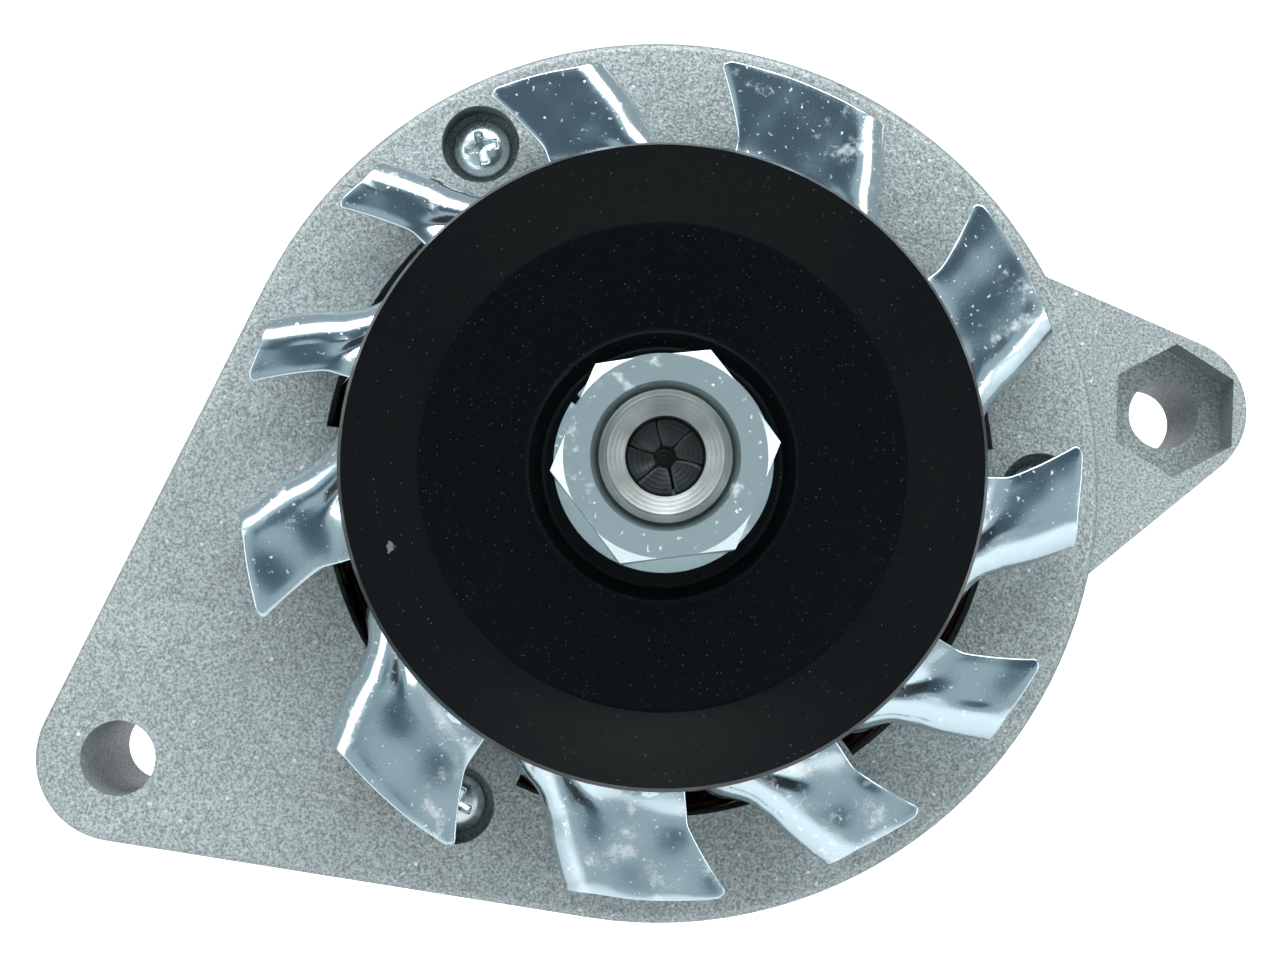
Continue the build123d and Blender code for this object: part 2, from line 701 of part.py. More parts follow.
def make_regulator():
    with BuildPart() as plate:
        brick(-27, 27, REAR_Y, 126.0, -50.0, -21.0)
        brick(-7, 7, REAR_Y - 1, 127, -46, -26, mode=Mode.SUBTRACT)
        for x, z in REGULATOR_SCREWS:
            puck(2.0, 123, 127, mode=Mode.SUBTRACT, x=x, z=z)
    save(plate, "regulator_plate")
    with BuildPart() as cover:
        brick(-16, 16, 126.0, 137.0, -49.0, -22.0)
        fillet(cover.edges().filter_by(Axis.Y), radius=2.5)
        fillet(cover.faces().sort_by(Axis.Y)[-1].edges(), radius=1.2)
    save(cover, "regulator_cover")
    with BuildPart() as holder:
        brick(-7, 7, 92.0, 109.6, -46, -17)
        brick(-7, 7, 109.6, 126.0, -46, -26)
        for _, y0, y1 in BRUSH_ROWS:
            brick(-4.1, 4.1, y0 - 0.1, y1 + 0.1, -44, -16, mode=Mode.SUBTRACT)
    save(holder, "brush_holder")
    with BuildPart() as screws:
        for x, z in REGULATOR_SCREWS:
            puck(3.6, 126.0, 128.6, x=x, z=z)
            puck(2.0, 118.0, 126.0, x=x, z=z)
            for turn in (15, 105):
                with Locations(Location((x, 128.3, z), (0, turn, 0))):
                    Box(4.2, 2.0, 0.9, mode=Mode.SUBTRACT)
    save(screws, "regulator_screws")
    for row, y0, y1 in BRUSH_ROWS:
        with BuildPart() as brush:
            brick(-4, 4, y0, y1, -32, -10)
            puck(RING_R + 0.3, y0 - 1, y1 + 1, mode=Mode.SUBTRACT)
        save(brush, f"{row}_brush")
        with BuildPart() as spring:
            with BuildLine(Plane((0, (y0 + y1) / 2, -43.6))) as path:
                Helix(pitch=2.05, height=11.2, radius=1.9)
            with BuildSketch(Plane(origin=path.line @ 0, z_dir=path.line % 0)):
                Circle(0.3)
            sweep(is_frenet=True)
        save(spring, f"{row}_brush_spring")


def make_capacitor():
    with BuildPart() as can:
        with Locations(Location((-24.0, 133.0, 38.0), (0, 90, 0))):
            Cylinder(8.0, 30)
        fillet(can.edges().filter_by(GeomType.CIRCLE), radius=1.0)
    save(can, "capacitor")
    with BuildPart() as clip:
        with Locations(Location((-26.0, 133.0, 38.0), (0, 90, 0))):
            Cylinder(9.0, 8)
        brick(-30, -22, REAR_Y, 125.2, 24, 38)
        brick(-48, -22, REAR_Y, 125.2, 20.5, 31.5)
        with Locations(Location((-26.0, 133.0, 38.0), (0, 90, 0))):
            Cylinder(8.0, 10, mode=Mode.SUBTRACT)
        x, z = CAPACITOR_SCREW[0]
        puck(2.0, 123, 127, mode=Mode.SUBTRACT, x=x, z=z)
    save(clip, "capacitor_clip")
    with BuildPart() as screw:
        x, z = CAPACITOR_SCREW[0]
        puck(3.6, 125.2, 127.8, x=x, z=z)
        puck(2.0, 118.0, 125.2, x=x, z=z)
        with Locations((x, 127.8, z)):
            Box(5.5, 1.6, 0.9, mode=Mode.SUBTRACT)
    save(screw, "capacitor_screw")


# ---- build everything ---------------------------------------------------------------
make_shaft_nut()
make_washers()
pulley_half("pulley_front_half", -1)
pulley_half("pulley_rear_half", 1)
make_pulley_spacer()
make_key()
make_fan()
make_bearing_spacer()
make_shaft()
claw_pole("front_claw_pole", 46.0, 57.0, 86.0, 0)
claw_pole("rear_claw_pole", 77.0, 88.0, 48.0, 30)
make_rotor_inside()
make_slip_rings()
ball_bearing("front_bearing", 8.5, 20.0, 28.0, 40.0, 14.25, 3.4, 12.1, 16.4, 8)
ball_bearing("rear_bearing", 6.0, 16.0, 112.0, 122.0, 11.0, 2.9, 9.1, 12.9, 7)
make_front_shields()
make_retainer()
make_drive_end_frame()
make_through_screws()
make_stator()
make_slip_ring_end_frame()
make_rear_bearing_sleeve()
make_rectifier()
make_terminals()
make_regulator()
make_capacitor()
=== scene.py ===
# %% [markdown]
# A car alternator, seen from its pulley end.
# The solid model gives every size. Here it gets its finishes, the pieces that are too
# fine or too soft in shape for the solid model, the camera and the light.


import json
import math

import bmesh
import bpy
import numpy as np
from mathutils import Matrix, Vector


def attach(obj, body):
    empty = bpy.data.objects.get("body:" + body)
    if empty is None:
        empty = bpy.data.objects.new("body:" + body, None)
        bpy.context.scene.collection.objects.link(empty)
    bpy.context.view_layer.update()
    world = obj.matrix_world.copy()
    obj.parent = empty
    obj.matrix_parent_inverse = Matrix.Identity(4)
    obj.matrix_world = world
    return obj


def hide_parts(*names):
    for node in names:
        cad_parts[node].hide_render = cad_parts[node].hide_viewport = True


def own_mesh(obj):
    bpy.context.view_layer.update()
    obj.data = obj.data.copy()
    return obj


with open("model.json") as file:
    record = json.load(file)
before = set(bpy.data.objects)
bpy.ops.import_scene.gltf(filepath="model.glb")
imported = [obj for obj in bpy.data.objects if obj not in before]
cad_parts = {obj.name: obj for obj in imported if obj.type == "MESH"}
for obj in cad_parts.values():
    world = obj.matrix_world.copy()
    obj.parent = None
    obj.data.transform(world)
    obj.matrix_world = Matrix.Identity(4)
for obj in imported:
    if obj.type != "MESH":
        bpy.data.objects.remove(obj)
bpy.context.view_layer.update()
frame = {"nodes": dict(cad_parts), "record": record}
MM = 0.001
scene = bpy.context.scene
nodes_of = frame["nodes"]


# %% [markdown]
# Small helpers come first. Most pieces are made from rows of points, so one helper
# turns points and faces into an object, gives it a finish, and hangs it on a body.


# %% Helpers for pieces
def new_piece(name, points, faces, finish, body, smooth=True):
    mesh = bpy.data.meshes.new(name)
    mesh.from_pydata([tuple(p) for p in points], [], faces)
    mesh.update()
    obj = bpy.data.objects.new(name, mesh)
    scene.collection.objects.link(obj)
    mesh.materials.append(finish)
    for polygon in mesh.polygons:
        polygon.use_smooth = smooth
    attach(obj, body)
    return obj


def grid_faces(rows, columns, closed=False):
    """Quads over rows of points; closed joins the last column to the first."""
    faces = []
    last = columns if closed else columns - 1
    for r in range(rows - 1):
        for c in range(last):
            d = (c + 1) % columns
            faces.append((r * columns + c, r * columns + d, (r + 1) * columns + d, (r + 1) * columns + c))
    return faces


def add_part(points, faces, part_points, part_faces):
    """Adds one part, in mm, to the growing points and faces of a piece, in metres."""
    base = len(points)
    points += [tuple(v * MM for v in p) for p in part_points]
    faces += [tuple(base + v for v in face) for face in part_faces]


def turned_points(profile, steps, centre=(0.0, 0.0)):
    """A (radius, y) outline turned about the shaft direction through a centre (x, z)."""
    rows = []
    for radius, y in profile:
        for i in range(steps):
            a = 2 * math.pi * i / steps
            rows.append((centre[0] + radius * math.cos(a), y, centre[1] + radius * math.sin(a)))
    return rows


def on_circle(radius, angle):
    a = math.radians(angle)
    return Vector((radius * math.cos(a), radius * math.sin(a)))


# %% [markdown]
# The frames are die-cast aluminium, shot-blasted after casting.
# Blasting leaves a fine grain of dents: some facets catch the light and shine, others
# stay dull. One noise at the size of a dent drives colour, roughness and bump together,
# because on the real face they come from the same dents. Soft stains lie over it.
# The shine of those facets is painted: a few random cells get a paler base colour, a painted highlight.


# %% Cast aluminium
def cast_metal(name, dark, pale, grain_size, gloss):
    mat = bpy.data.materials.new(name)
    mat.use_nodes = True
    nodes, links = mat.node_tree.nodes, mat.node_tree.links
    nodes.clear()

    grain_frame = nodes.new("NodeFrame")
    grain_frame.label = "shot-blasted grain"
    stain_frame = nodes.new("NodeFrame")
    stain_frame.label = "soft casting stains"
    relief_frame = nodes.new("NodeFrame")
    relief_frame.label = "relief"

    place = nodes.new("ShaderNodeTexCoord")
    place.label = "place on the casting"
    place.location = (-1500, 0)

    dents = nodes.new("ShaderNodeTexNoise")
    dents.label = "blast dents"
    dents.location = (-1200, 250)
    dents.parent = grain_frame
    dents.inputs["Scale"].default_value = 1.0 / grain_size
    dents.inputs["Detail"].default_value = 3.0
    dents.inputs["Roughness"].default_value = 0.62

    # painted highlight: random cells, a few of which are painted paler to stand in for facets catching
    # the light
    facets = nodes.new("ShaderNodeTexVoronoi")
    facets.label = "single bright facets"
    facets.location = (-1200, -80)
    facets.parent = grain_frame
    facets.inputs["Scale"].default_value = 0.9 / grain_size

    painted_glint = nodes.new("ShaderNodeValToRGB")
    painted_glint.label = "few facets glint"
    painted_glint.location = (-950, -80)
    painted_glint.parent = grain_frame
    painted_glint.color_ramp.elements[0].position = 0.90
    painted_glint.color_ramp.elements[1].position = 0.99

    tone = nodes.new("ShaderNodeValToRGB")
    tone.label = "grey of the grain"
    tone.location = (-950, 250)
    tone.parent = grain_frame
    tone.color_ramp.elements[0].position = 0.34
    tone.color_ramp.elements[0].color = (*dark, 1)
    tone.color_ramp.elements[1].position = 0.66
    tone.color_ramp.elements[1].color = (*pale, 1)

    stains = nodes.new("ShaderNodeTexNoise")
    stains.label = "stains a finger wide"
    stains.location = (-1200, -400)
    stains.parent = stain_frame
    stains.inputs["Scale"].default_value = 60.0
    stains.inputs["Detail"].default_value = 4.0

    stain_tone = nodes.new("ShaderNodeMapRange")
    stain_tone.label = "stain depth"
    stain_tone.location = (-950, -400)
    stain_tone.parent = stain_frame
    stain_tone.inputs["From Min"].default_value = 0.3
    stain_tone.inputs["From Max"].default_value = 0.7
    stain_tone.inputs["To Min"].default_value = 0.90
    stain_tone.inputs["To Max"].default_value = 1.05

    stained = nodes.new("ShaderNodeMix")
    stained.label = "grain times stains"
    stained.location = (-650, 150)
    stained.data_type = "RGBA"
    stained.blend_type = "MULTIPLY"
    stained.inputs["Factor"].default_value = 1.0

    # mixes a paler grey into the base colour on the chosen cells, a painted highlight
    painted_shine = nodes.new("ShaderNodeMix")
    painted_shine.label = "add the glints"
    painted_shine.location = (-420, 100)
    painted_shine.data_type = "RGBA"
    painted_shine.inputs["B"].default_value = (0.62, 0.66, 0.66, 1)

    dull = nodes.new("ShaderNodeMapRange")
    dull.label = "dents are duller"
    dull.location = (-650, -150)
    dull.parent = relief_frame
    dull.inputs["To Min"].default_value = gloss + 0.16
    dull.inputs["To Max"].default_value = gloss - 0.10

    relief = nodes.new("ShaderNodeBump")
    relief.label = "dents as bump"
    relief.location = (-420, -300)
    relief.parent = relief_frame
    relief.inputs["Strength"].default_value = 0.55
    relief.inputs["Distance"].default_value = 0.00024

    shader = nodes.new("ShaderNodeBsdfPrincipled")
    shader.label = "bare cast aluminium"
    shader.location = (-150, 0)
    shader.inputs["Metallic"].default_value = 0.55

    output = nodes.new("ShaderNodeOutputMaterial")
    output.location = (150, 0)

    links.new(place.outputs["Object"], dents.inputs["Vector"])
    links.new(place.outputs["Object"], facets.inputs["Vector"])
    links.new(place.outputs["Object"], stains.inputs["Vector"])
    links.new(dents.outputs["Fac"], tone.inputs["Fac"])
    links.new(facets.outputs["Color"], painted_glint.inputs["Fac"])
    links.new(stains.outputs["Fac"], stain_tone.inputs["Value"])
    links.new(tone.outputs["Color"], stained.inputs["A"])
    links.new(stain_tone.outputs["Result"], stained.inputs["B"])
    links.new(stained.outputs["Result"], painted_shine.inputs["A"])
    links.new(painted_glint.outputs["Color"], painted_shine.inputs["Factor"])
    links.new(dents.outputs["Fac"], dull.inputs["Value"])
    links.new(dents.outputs["Fac"], relief.inputs["Height"])
    links.new(painted_shine.outputs["Result"], shader.inputs["Base Color"])
    links.new(dull.outputs["Result"], shader.inputs["Roughness"])
    links.new(relief.outputs["Normal"], shader.inputs["Normal"])
    links.new(shader.outputs["BSDF"], output.inputs["Surface"])
    return mat


cast_finish = cast_metal("cast_housing", (0.14, 0.163, 0.165), (0.40, 0.455, 0.46), 0.00036, 0.50)
print("casting finish:", cast_finish.name)


# %% [markdown]
# The fan, the screws, the nut and its washers are steel with blue-passivated zinc.
# Zinc is a mirror with a slight blue cast, but not an even one: handling leaves small
# dull pits, pale blotches and fine scratches, and a stamped sheet has shallow waves that
# bend what it reflects. Three noises at three sizes make waves, blotches and pits.


# %% Zinc-plated steel
def zinc_plate(name, tint, worn_tint, gloss, wave, pits, blotch):
    mat = bpy.data.materials.new(name)
    mat.use_nodes = True
    nodes, links = mat.node_tree.nodes, mat.node_tree.links
    nodes.clear()

    wear_frame = nodes.new("NodeFrame")
    wear_frame.label = "blotches, pits and scratches"
    relief_frame = nodes.new("NodeFrame")
    relief_frame.label = "waves in the sheet"

    place = nodes.new("ShaderNodeTexCoord")
    place.label = "place on the sheet"
    place.location = (-1700, 0)

    blotches = nodes.new("ShaderNodeTexNoise")
    blotches.label = "pale blotches"
    blotches.location = (-1400, 350)
    blotches.parent = wear_frame
    blotches.inputs["Scale"].default_value = 170.0
    blotches.inputs["Detail"].default_value = 6.0
    blotches.inputs["Roughness"].default_value = 0.7

    blotch_edge = nodes.new("ShaderNodeValToRGB")
    blotch_edge.label = "where the coat is dull"
    blotch_edge.location = (-1150, 350)
    blotch_edge.parent = wear_frame
    blotch_edge.color_ramp.elements[0].position = 0.60 - blotch
    blotch_edge.color_ramp.elements[1].position = 0.72 - blotch

    specks = nodes.new("ShaderNodeTexNoise")
    specks.label = "white specks"
    specks.location = (-1400, 60)
    specks.parent = wear_frame
    specks.inputs["Scale"].default_value = 1300.0
    specks.inputs["Detail"].default_value = 2.0

    speck_edge = nodes.new("ShaderNodeValToRGB")
    speck_edge.label = "few specks"
    speck_edge.location = (-1150, 60)
    speck_edge.parent = wear_frame
    speck_edge.color_ramp.elements[0].position = 0.70 - pits
    speck_edge.color_ramp.elements[1].position = 0.76 - pits

    worn = nodes.new("ShaderNodeMath")
    worn.label = "blotches and specks"
    worn.location = (-850, 220)
    worn.parent = wear_frame
    worn.operation = "MAXIMUM"

    colour = nodes.new("ShaderNodeMix")
    colour.label = "clean zinc to worn zinc"
    colour.location = (-500, 200)
    colour.data_type = "RGBA"
    colour.inputs["A"].default_value = (*tint, 1)
    colour.inputs["B"].default_value = (*worn_tint, 1)

    rough = nodes.new("ShaderNodeMapRange")
    rough.label = "worn zinc is dull"
    rough.location = (-500, -60)
    rough.inputs["To Min"].default_value = gloss
    rough.inputs["To Max"].default_value = gloss + 0.30

    waves = nodes.new("ShaderNodeTexNoise")
    waves.label = "waves from the press"
    waves.location = (-1400, -300)
    waves.parent = relief_frame
    waves.inputs["Scale"].default_value = 80.0
    waves.inputs["Detail"].default_value = 1.5

    grain = nodes.new("ShaderNodeTexNoise")
    grain.label = "coat grain"
    grain.location = (-1400, -560)
    grain.parent = relief_frame
    grain.inputs["Scale"].default_value = 2600.0
    grain.inputs["Detail"].default_value = 2.0

    wave_bump = nodes.new("ShaderNodeBump")
    wave_bump.label = "waves bend the reflection"
    wave_bump.location = (-1000, -320)
    wave_bump.parent = relief_frame
    wave_bump.inputs["Strength"].default_value = 1.0
    wave_bump.inputs["Distance"].default_value = wave

    grain_bump = nodes.new("ShaderNodeBump")
    grain_bump.label = "grain breaks it up"
    grain_bump.location = (-700, -420)
    grain_bump.parent = relief_frame
    grain_bump.inputs["Strength"].default_value = 0.25
    grain_bump.inputs["Distance"].default_value = 0.00003

    shader = nodes.new("ShaderNodeBsdfPrincipled")
    shader.label = "zinc"
    shader.location = (-150, 0)
    shader.inputs["Metallic"].default_value = 0.96

    output = nodes.new("ShaderNodeOutputMaterial")
    output.location = (150, 0)

    links.new(place.outputs["Object"], blotches.inputs["Vector"])
    links.new(place.outputs["Object"], specks.inputs["Vector"])
    links.new(place.outputs["Object"], waves.inputs["Vector"])
    links.new(place.outputs["Object"], grain.inputs["Vector"])
    links.new(blotches.outputs["Fac"], blotch_edge.inputs["Fac"])
    links.new(specks.outputs["Fac"], speck_edge.inputs["Fac"])
    links.new(blotch_edge.outputs["Color"], worn.inputs[0])
    links.new(speck_edge.outputs["Color"], worn.inputs[1])
    links.new(worn.outputs["Value"], colour.inputs["Factor"])
    links.new(worn.outputs["Value"], rough.inputs["Value"])
    links.new(waves.outputs["Fac"], wave_bump.inputs["Height"])
    links.new(grain.outputs["Fac"], grain_bump.inputs["Height"])
    links.new(wave_bump.outputs["Normal"], grain_bump.inputs["Normal"])
    links.new(colour.outputs["Result"], shader.inputs["Base Color"])
    links.new(rough.outputs["Result"], shader.inputs["Roughness"])
    links.new(grain_bump.outputs["Normal"], shader.inputs["Normal"])
    links.new(shader.outputs["BSDF"], output.inputs["Surface"])
    return mat


pale_zinc, worn_zinc = (0.78, 0.81, 0.82), (0.64, 0.72, 0.74)
fan_finish = zinc_plate("zinc_plate", (0.48, 0.59, 0.645), pale_zinc, 0.17, 0.0004, 0.035, 0.03)
nut_finish = zinc_plate("nut_zinc", (0.50, 0.60, 0.62), worn_zinc, 0.34, 0.0001, 0.02, 0.03)
small_zinc = zinc_plate("small_zinc", (0.50, 0.58, 0.60), worn_zinc, 0.26, 0.00005, 0.03, 0.05)
print("zinc finishes:", fan_finish.name, nut_finish.name, small_zinc.name)


# %% [markdown]
# The pulley is dipped in gloss black enamel. Black gloss hides its own colour and shows
# everything that lies on it, so the detail is dust, a faint orange peel and a few chips
# that let bare metal through.


# %% Gloss black enamel
def black_enamel(name, chips):
    mat = bpy.data.materials.new(name)
    mat.use_nodes = True
    nodes, links = mat.node_tree.nodes, mat.node_tree.links
    nodes.clear()

    dust_frame = nodes.new("NodeFrame")
    dust_frame.label = "dust and chips"
    peel_frame = nodes.new("NodeFrame")
    peel_frame.label = "orange peel"

    place = nodes.new("ShaderNodeTexCoord")
    place.label = "place on the pulley"
    place.location = (-1500, 0)

    dust = nodes.new("ShaderNodeTexVoronoi")
    dust.label = "dust grains"
    dust.location = (-1200, 300)
    dust.parent = dust_frame
    dust.inputs["Scale"].default_value = 2300.0

    dust_dot = nodes.new("ShaderNodeMapRange")
    dust_dot.label = "a dot in each cell"
    dust_dot.location = (-1000, 300)
    dust_dot.parent = dust_frame
    dust_dot.inputs["From Min"].default_value = 0.26
    dust_dot.inputs["From Max"].default_value = 0.10

    dust_pick = nodes.new("ShaderNodeMapRange")
    dust_pick.label = "only some cells"
    dust_pick.location = (-1000, 60)
    dust_pick.parent = dust_frame
    dust_pick.inputs["From Min"].default_value = 0.80
    dust_pick.inputs["From Max"].default_value = 1.0

    dust_mask = nodes.new("ShaderNodeMath")
    dust_mask.label = "dust"
    dust_mask.location = (-780, 200)
    dust_mask.parent = dust_frame
    dust_mask.operation = "MULTIPLY"

    chip_noise = nodes.new("ShaderNodeTexNoise")
    chip_noise.label = "where the enamel is chipped"
    chip_noise.location = (-1200, -200)
    chip_noise.parent = dust_frame
    chip_noise.inputs["Scale"].default_value = 230.0
    chip_noise.inputs["Detail"].default_value = 5.0

    chip_edge = nodes.new("ShaderNodeMapRange")
    chip_edge.label = "sharp chip edges"
    chip_edge.location = (-1000, -200)
    chip_edge.parent = dust_frame
    chip_edge.inputs["From Min"].default_value = chips
    chip_edge.inputs["From Max"].default_value = chips + 0.012

    marks = nodes.new("ShaderNodeMath")
    marks.label = "dust and chips"
    marks.location = (-560, 60)
    marks.parent = dust_frame
    marks.operation = "MAXIMUM"

    colour = nodes.new("ShaderNodeMix")
    colour.label = "enamel under the marks"
    colour.location = (-350, 120)
    colour.data_type = "RGBA"
    colour.inputs["A"].default_value = (0.0016, 0.0026, 0.0030, 1)
    colour.inputs["B"].default_value = (0.10, 0.12, 0.115, 1)

    rough = nodes.new("ShaderNodeMapRange")
    rough.label = "marks are dull"
    rough.location = (-350, -120)
    rough.inputs["To Min"].default_value = 0.24
    rough.inputs["To Max"].default_value = 0.60

    peel = nodes.new("ShaderNodeTexNoise")
    peel.label = "orange peel"
    peel.location = (-1200, -460)
    peel.parent = peel_frame
    peel.inputs["Scale"].default_value = 420.0

    peel_bump = nodes.new("ShaderNodeBump")
    peel_bump.label = "peel as bump"
    peel_bump.location = (-560, -360)
    peel_bump.parent = peel_frame
    peel_bump.inputs["Strength"].default_value = 0.35
    peel_bump.inputs["Distance"].default_value = 0.00005

    shader = nodes.new("ShaderNodeBsdfPrincipled")
    shader.label = "gloss enamel"
    shader.location = (-100, 0)
    shader.inputs["Specular IOR Level"].default_value = 0.09

    output = nodes.new("ShaderNodeOutputMaterial")
    output.location = (200, 0)

    links.new(place.outputs["Object"], dust.inputs["Vector"])
    links.new(place.outputs["Object"], chip_noise.inputs["Vector"])
    links.new(place.outputs["Object"], peel.inputs["Vector"])
    links.new(dust.outputs["Distance"], dust_dot.inputs["Value"])
    links.new(dust.outputs["Color"], dust_pick.inputs["Value"])
    links.new(dust_dot.outputs["Result"], dust_mask.inputs[0])
    links.new(dust_pick.outputs["Result"], dust_mask.inputs[1])
    links.new(chip_noise.outputs["Fac"], chip_edge.inputs["Value"])
    links.new(dust_mask.outputs["Value"], marks.inputs[0])
    links.new(chip_edge.outputs["Result"], marks.inputs[1])
    links.new(marks.outputs["Value"], colour.inputs["Factor"])
    links.new(marks.outputs["Value"], rough.inputs["Value"])
    links.new(peel.outputs["Fac"], peel_bump.inputs["Height"])
    links.new(colour.outputs["Result"], shader.inputs["Base Color"])
    links.new(rough.outputs["Result"], shader.inputs["Roughness"])
    links.new(peel_bump.outputs["Normal"], shader.inputs["Normal"])
    links.new(shader.outputs["BSDF"], output.inputs["Surface"])
    return mat


enamel_finish = black_enamel("black_paint", 0.752)
print("enamel finish:", enamel_finish.name)


# %% [markdown]
# Shafts, races, bores, plates, copper and brass are all worked metal: turned on a lathe
# or rolled. Turning leaves rings about the shaft, so the tool marks follow the distance
# from the axis, and a wave texture in rings makes them. A tint, a gloss and a ring size
# are all that changes from one metal to the next.


# %% Turned and rolled metal
def worked_metal(name, tint, stain, gloss, ring_pitch, metal=0.95):
    mat = bpy.data.materials.new(name)
    mat.use_nodes = True
    nodes, links = mat.node_tree.nodes, mat.node_tree.links
    nodes.clear()

    ring_frame = nodes.new("NodeFrame")
    ring_frame.label = "tool rings"
    stain_frame = nodes.new("NodeFrame")
    stain_frame.label = "oil and heat stains"

    place = nodes.new("ShaderNodeTexCoord")
    place.label = "place on the metal"
    place.location = (-1400, 0)

    rings = nodes.new("ShaderNodeTexWave")
    rings.label = "rings about the shaft"
    rings.location = (-1100, 250)
    rings.parent = ring_frame
    rings.wave_type = "RINGS"
    rings.rings_direction = "Y"
    rings.inputs["Scale"].default_value = 0.314 / ring_pitch
    rings.inputs["Distortion"].default_value = 0.6
    rings.inputs["Detail"].default_value = 2.0

    stains = nodes.new("ShaderNodeTexNoise")
    stains.label = "uneven stain"
    stains.location = (-1100, -100)
    stains.parent = stain_frame
    stains.inputs["Scale"].default_value = 260.0
    stains.inputs["Detail"].default_value = 5.0

    colour = nodes.new("ShaderNodeMix")
    colour.label = "clean metal to stained"
    colour.location = (-600, 150)
    colour.data_type = "RGBA"
    colour.inputs["A"].default_value = (*tint, 1)
    colour.inputs["B"].default_value = (*stain, 1)

    rough = nodes.new("ShaderNodeMapRange")
    rough.label = "ring valleys are duller"
    rough.location = (-600, -100)
    rough.inputs["To Min"].default_value = gloss + 0.12
    rough.inputs["To Max"].default_value = gloss

    relief = nodes.new("ShaderNodeBump")
    relief.label = "rings as bump"
    relief.location = (-600, -350)
    relief.parent = ring_frame
    relief.inputs["Strength"].default_value = 0.4
    relief.inputs["Distance"].default_value = 0.00004

    shader = nodes.new("ShaderNodeBsdfPrincipled")
    shader.label = "worked metal"
    shader.location = (-200, 0)
    shader.inputs["Metallic"].default_value = metal

    output = nodes.new("ShaderNodeOutputMaterial")
    output.location = (100, 0)

    links.new(place.outputs["Object"], rings.inputs["Vector"])
    links.new(place.outputs["Object"], stains.inputs["Vector"])
    links.new(stains.outputs["Fac"], colour.inputs["Factor"])
    links.new(rings.outputs["Fac"], rough.inputs["Value"])
    links.new(rings.outputs["Fac"], relief.inputs["Height"])
    links.new(colour.outputs["Result"], shader.inputs["Base Color"])
    links.new(rough.outputs["Result"], shader.inputs["Roughness"])
    links.new(relief.outputs["Normal"], shader.inputs["Normal"])
    links.new(shader.outputs["BSDF"], output.inputs["Surface"])
    return mat


shaft_finish = worked_metal("turned_steel", (0.26, 0.29, 0.285), (0.08, 0.092, 0.09), 0.38, 0.00055)
race_finish = worked_metal("bearing_steel", (0.66, 0.66, 0.67), (0.50, 0.50, 0.51), 0.16, 0.0004)
pole_finish = worked_metal("pole_steel", (0.20, 0.19, 0.19), (0.10, 0.10, 0.10), 0.50, 0.0011)
plate_finish = worked_metal("plate_aluminium", (0.72, 0.73, 0.74), (0.55, 0.56, 0.57), 0.34, 0.0009)
brass_finish = worked_metal("brass_parts", (0.74, 0.56, 0.26), (0.50, 0.36, 0.17), 0.30, 0.0006)
ring_finish = worked_metal("slip_copper", (0.76, 0.42, 0.27), (0.50, 0.26, 0.16), 0.26, 0.0004)
cage_finish = worked_metal("cage_steel", (0.56, 0.55, 0.53), (0.38, 0.37, 0.36), 0.32, 0.0007)
spring_finish = worked_metal("spring_steel", (0.42, 0.42, 0.44), (0.28, 0.28, 0.30), 0.30, 0.0003)
print("worked metals: shaft, races, poles, plates, brass, rings, cages and springs")


# %% [markdown]
# The stator stack is hundreds of thin steel sheets seen on their edges, under a thin
# brown-black varnish. Bands across the shaft direction, one for each sheet, show the
# joints between them.
# The windings are round copper wires under clear amber enamel, dipped in varnish.


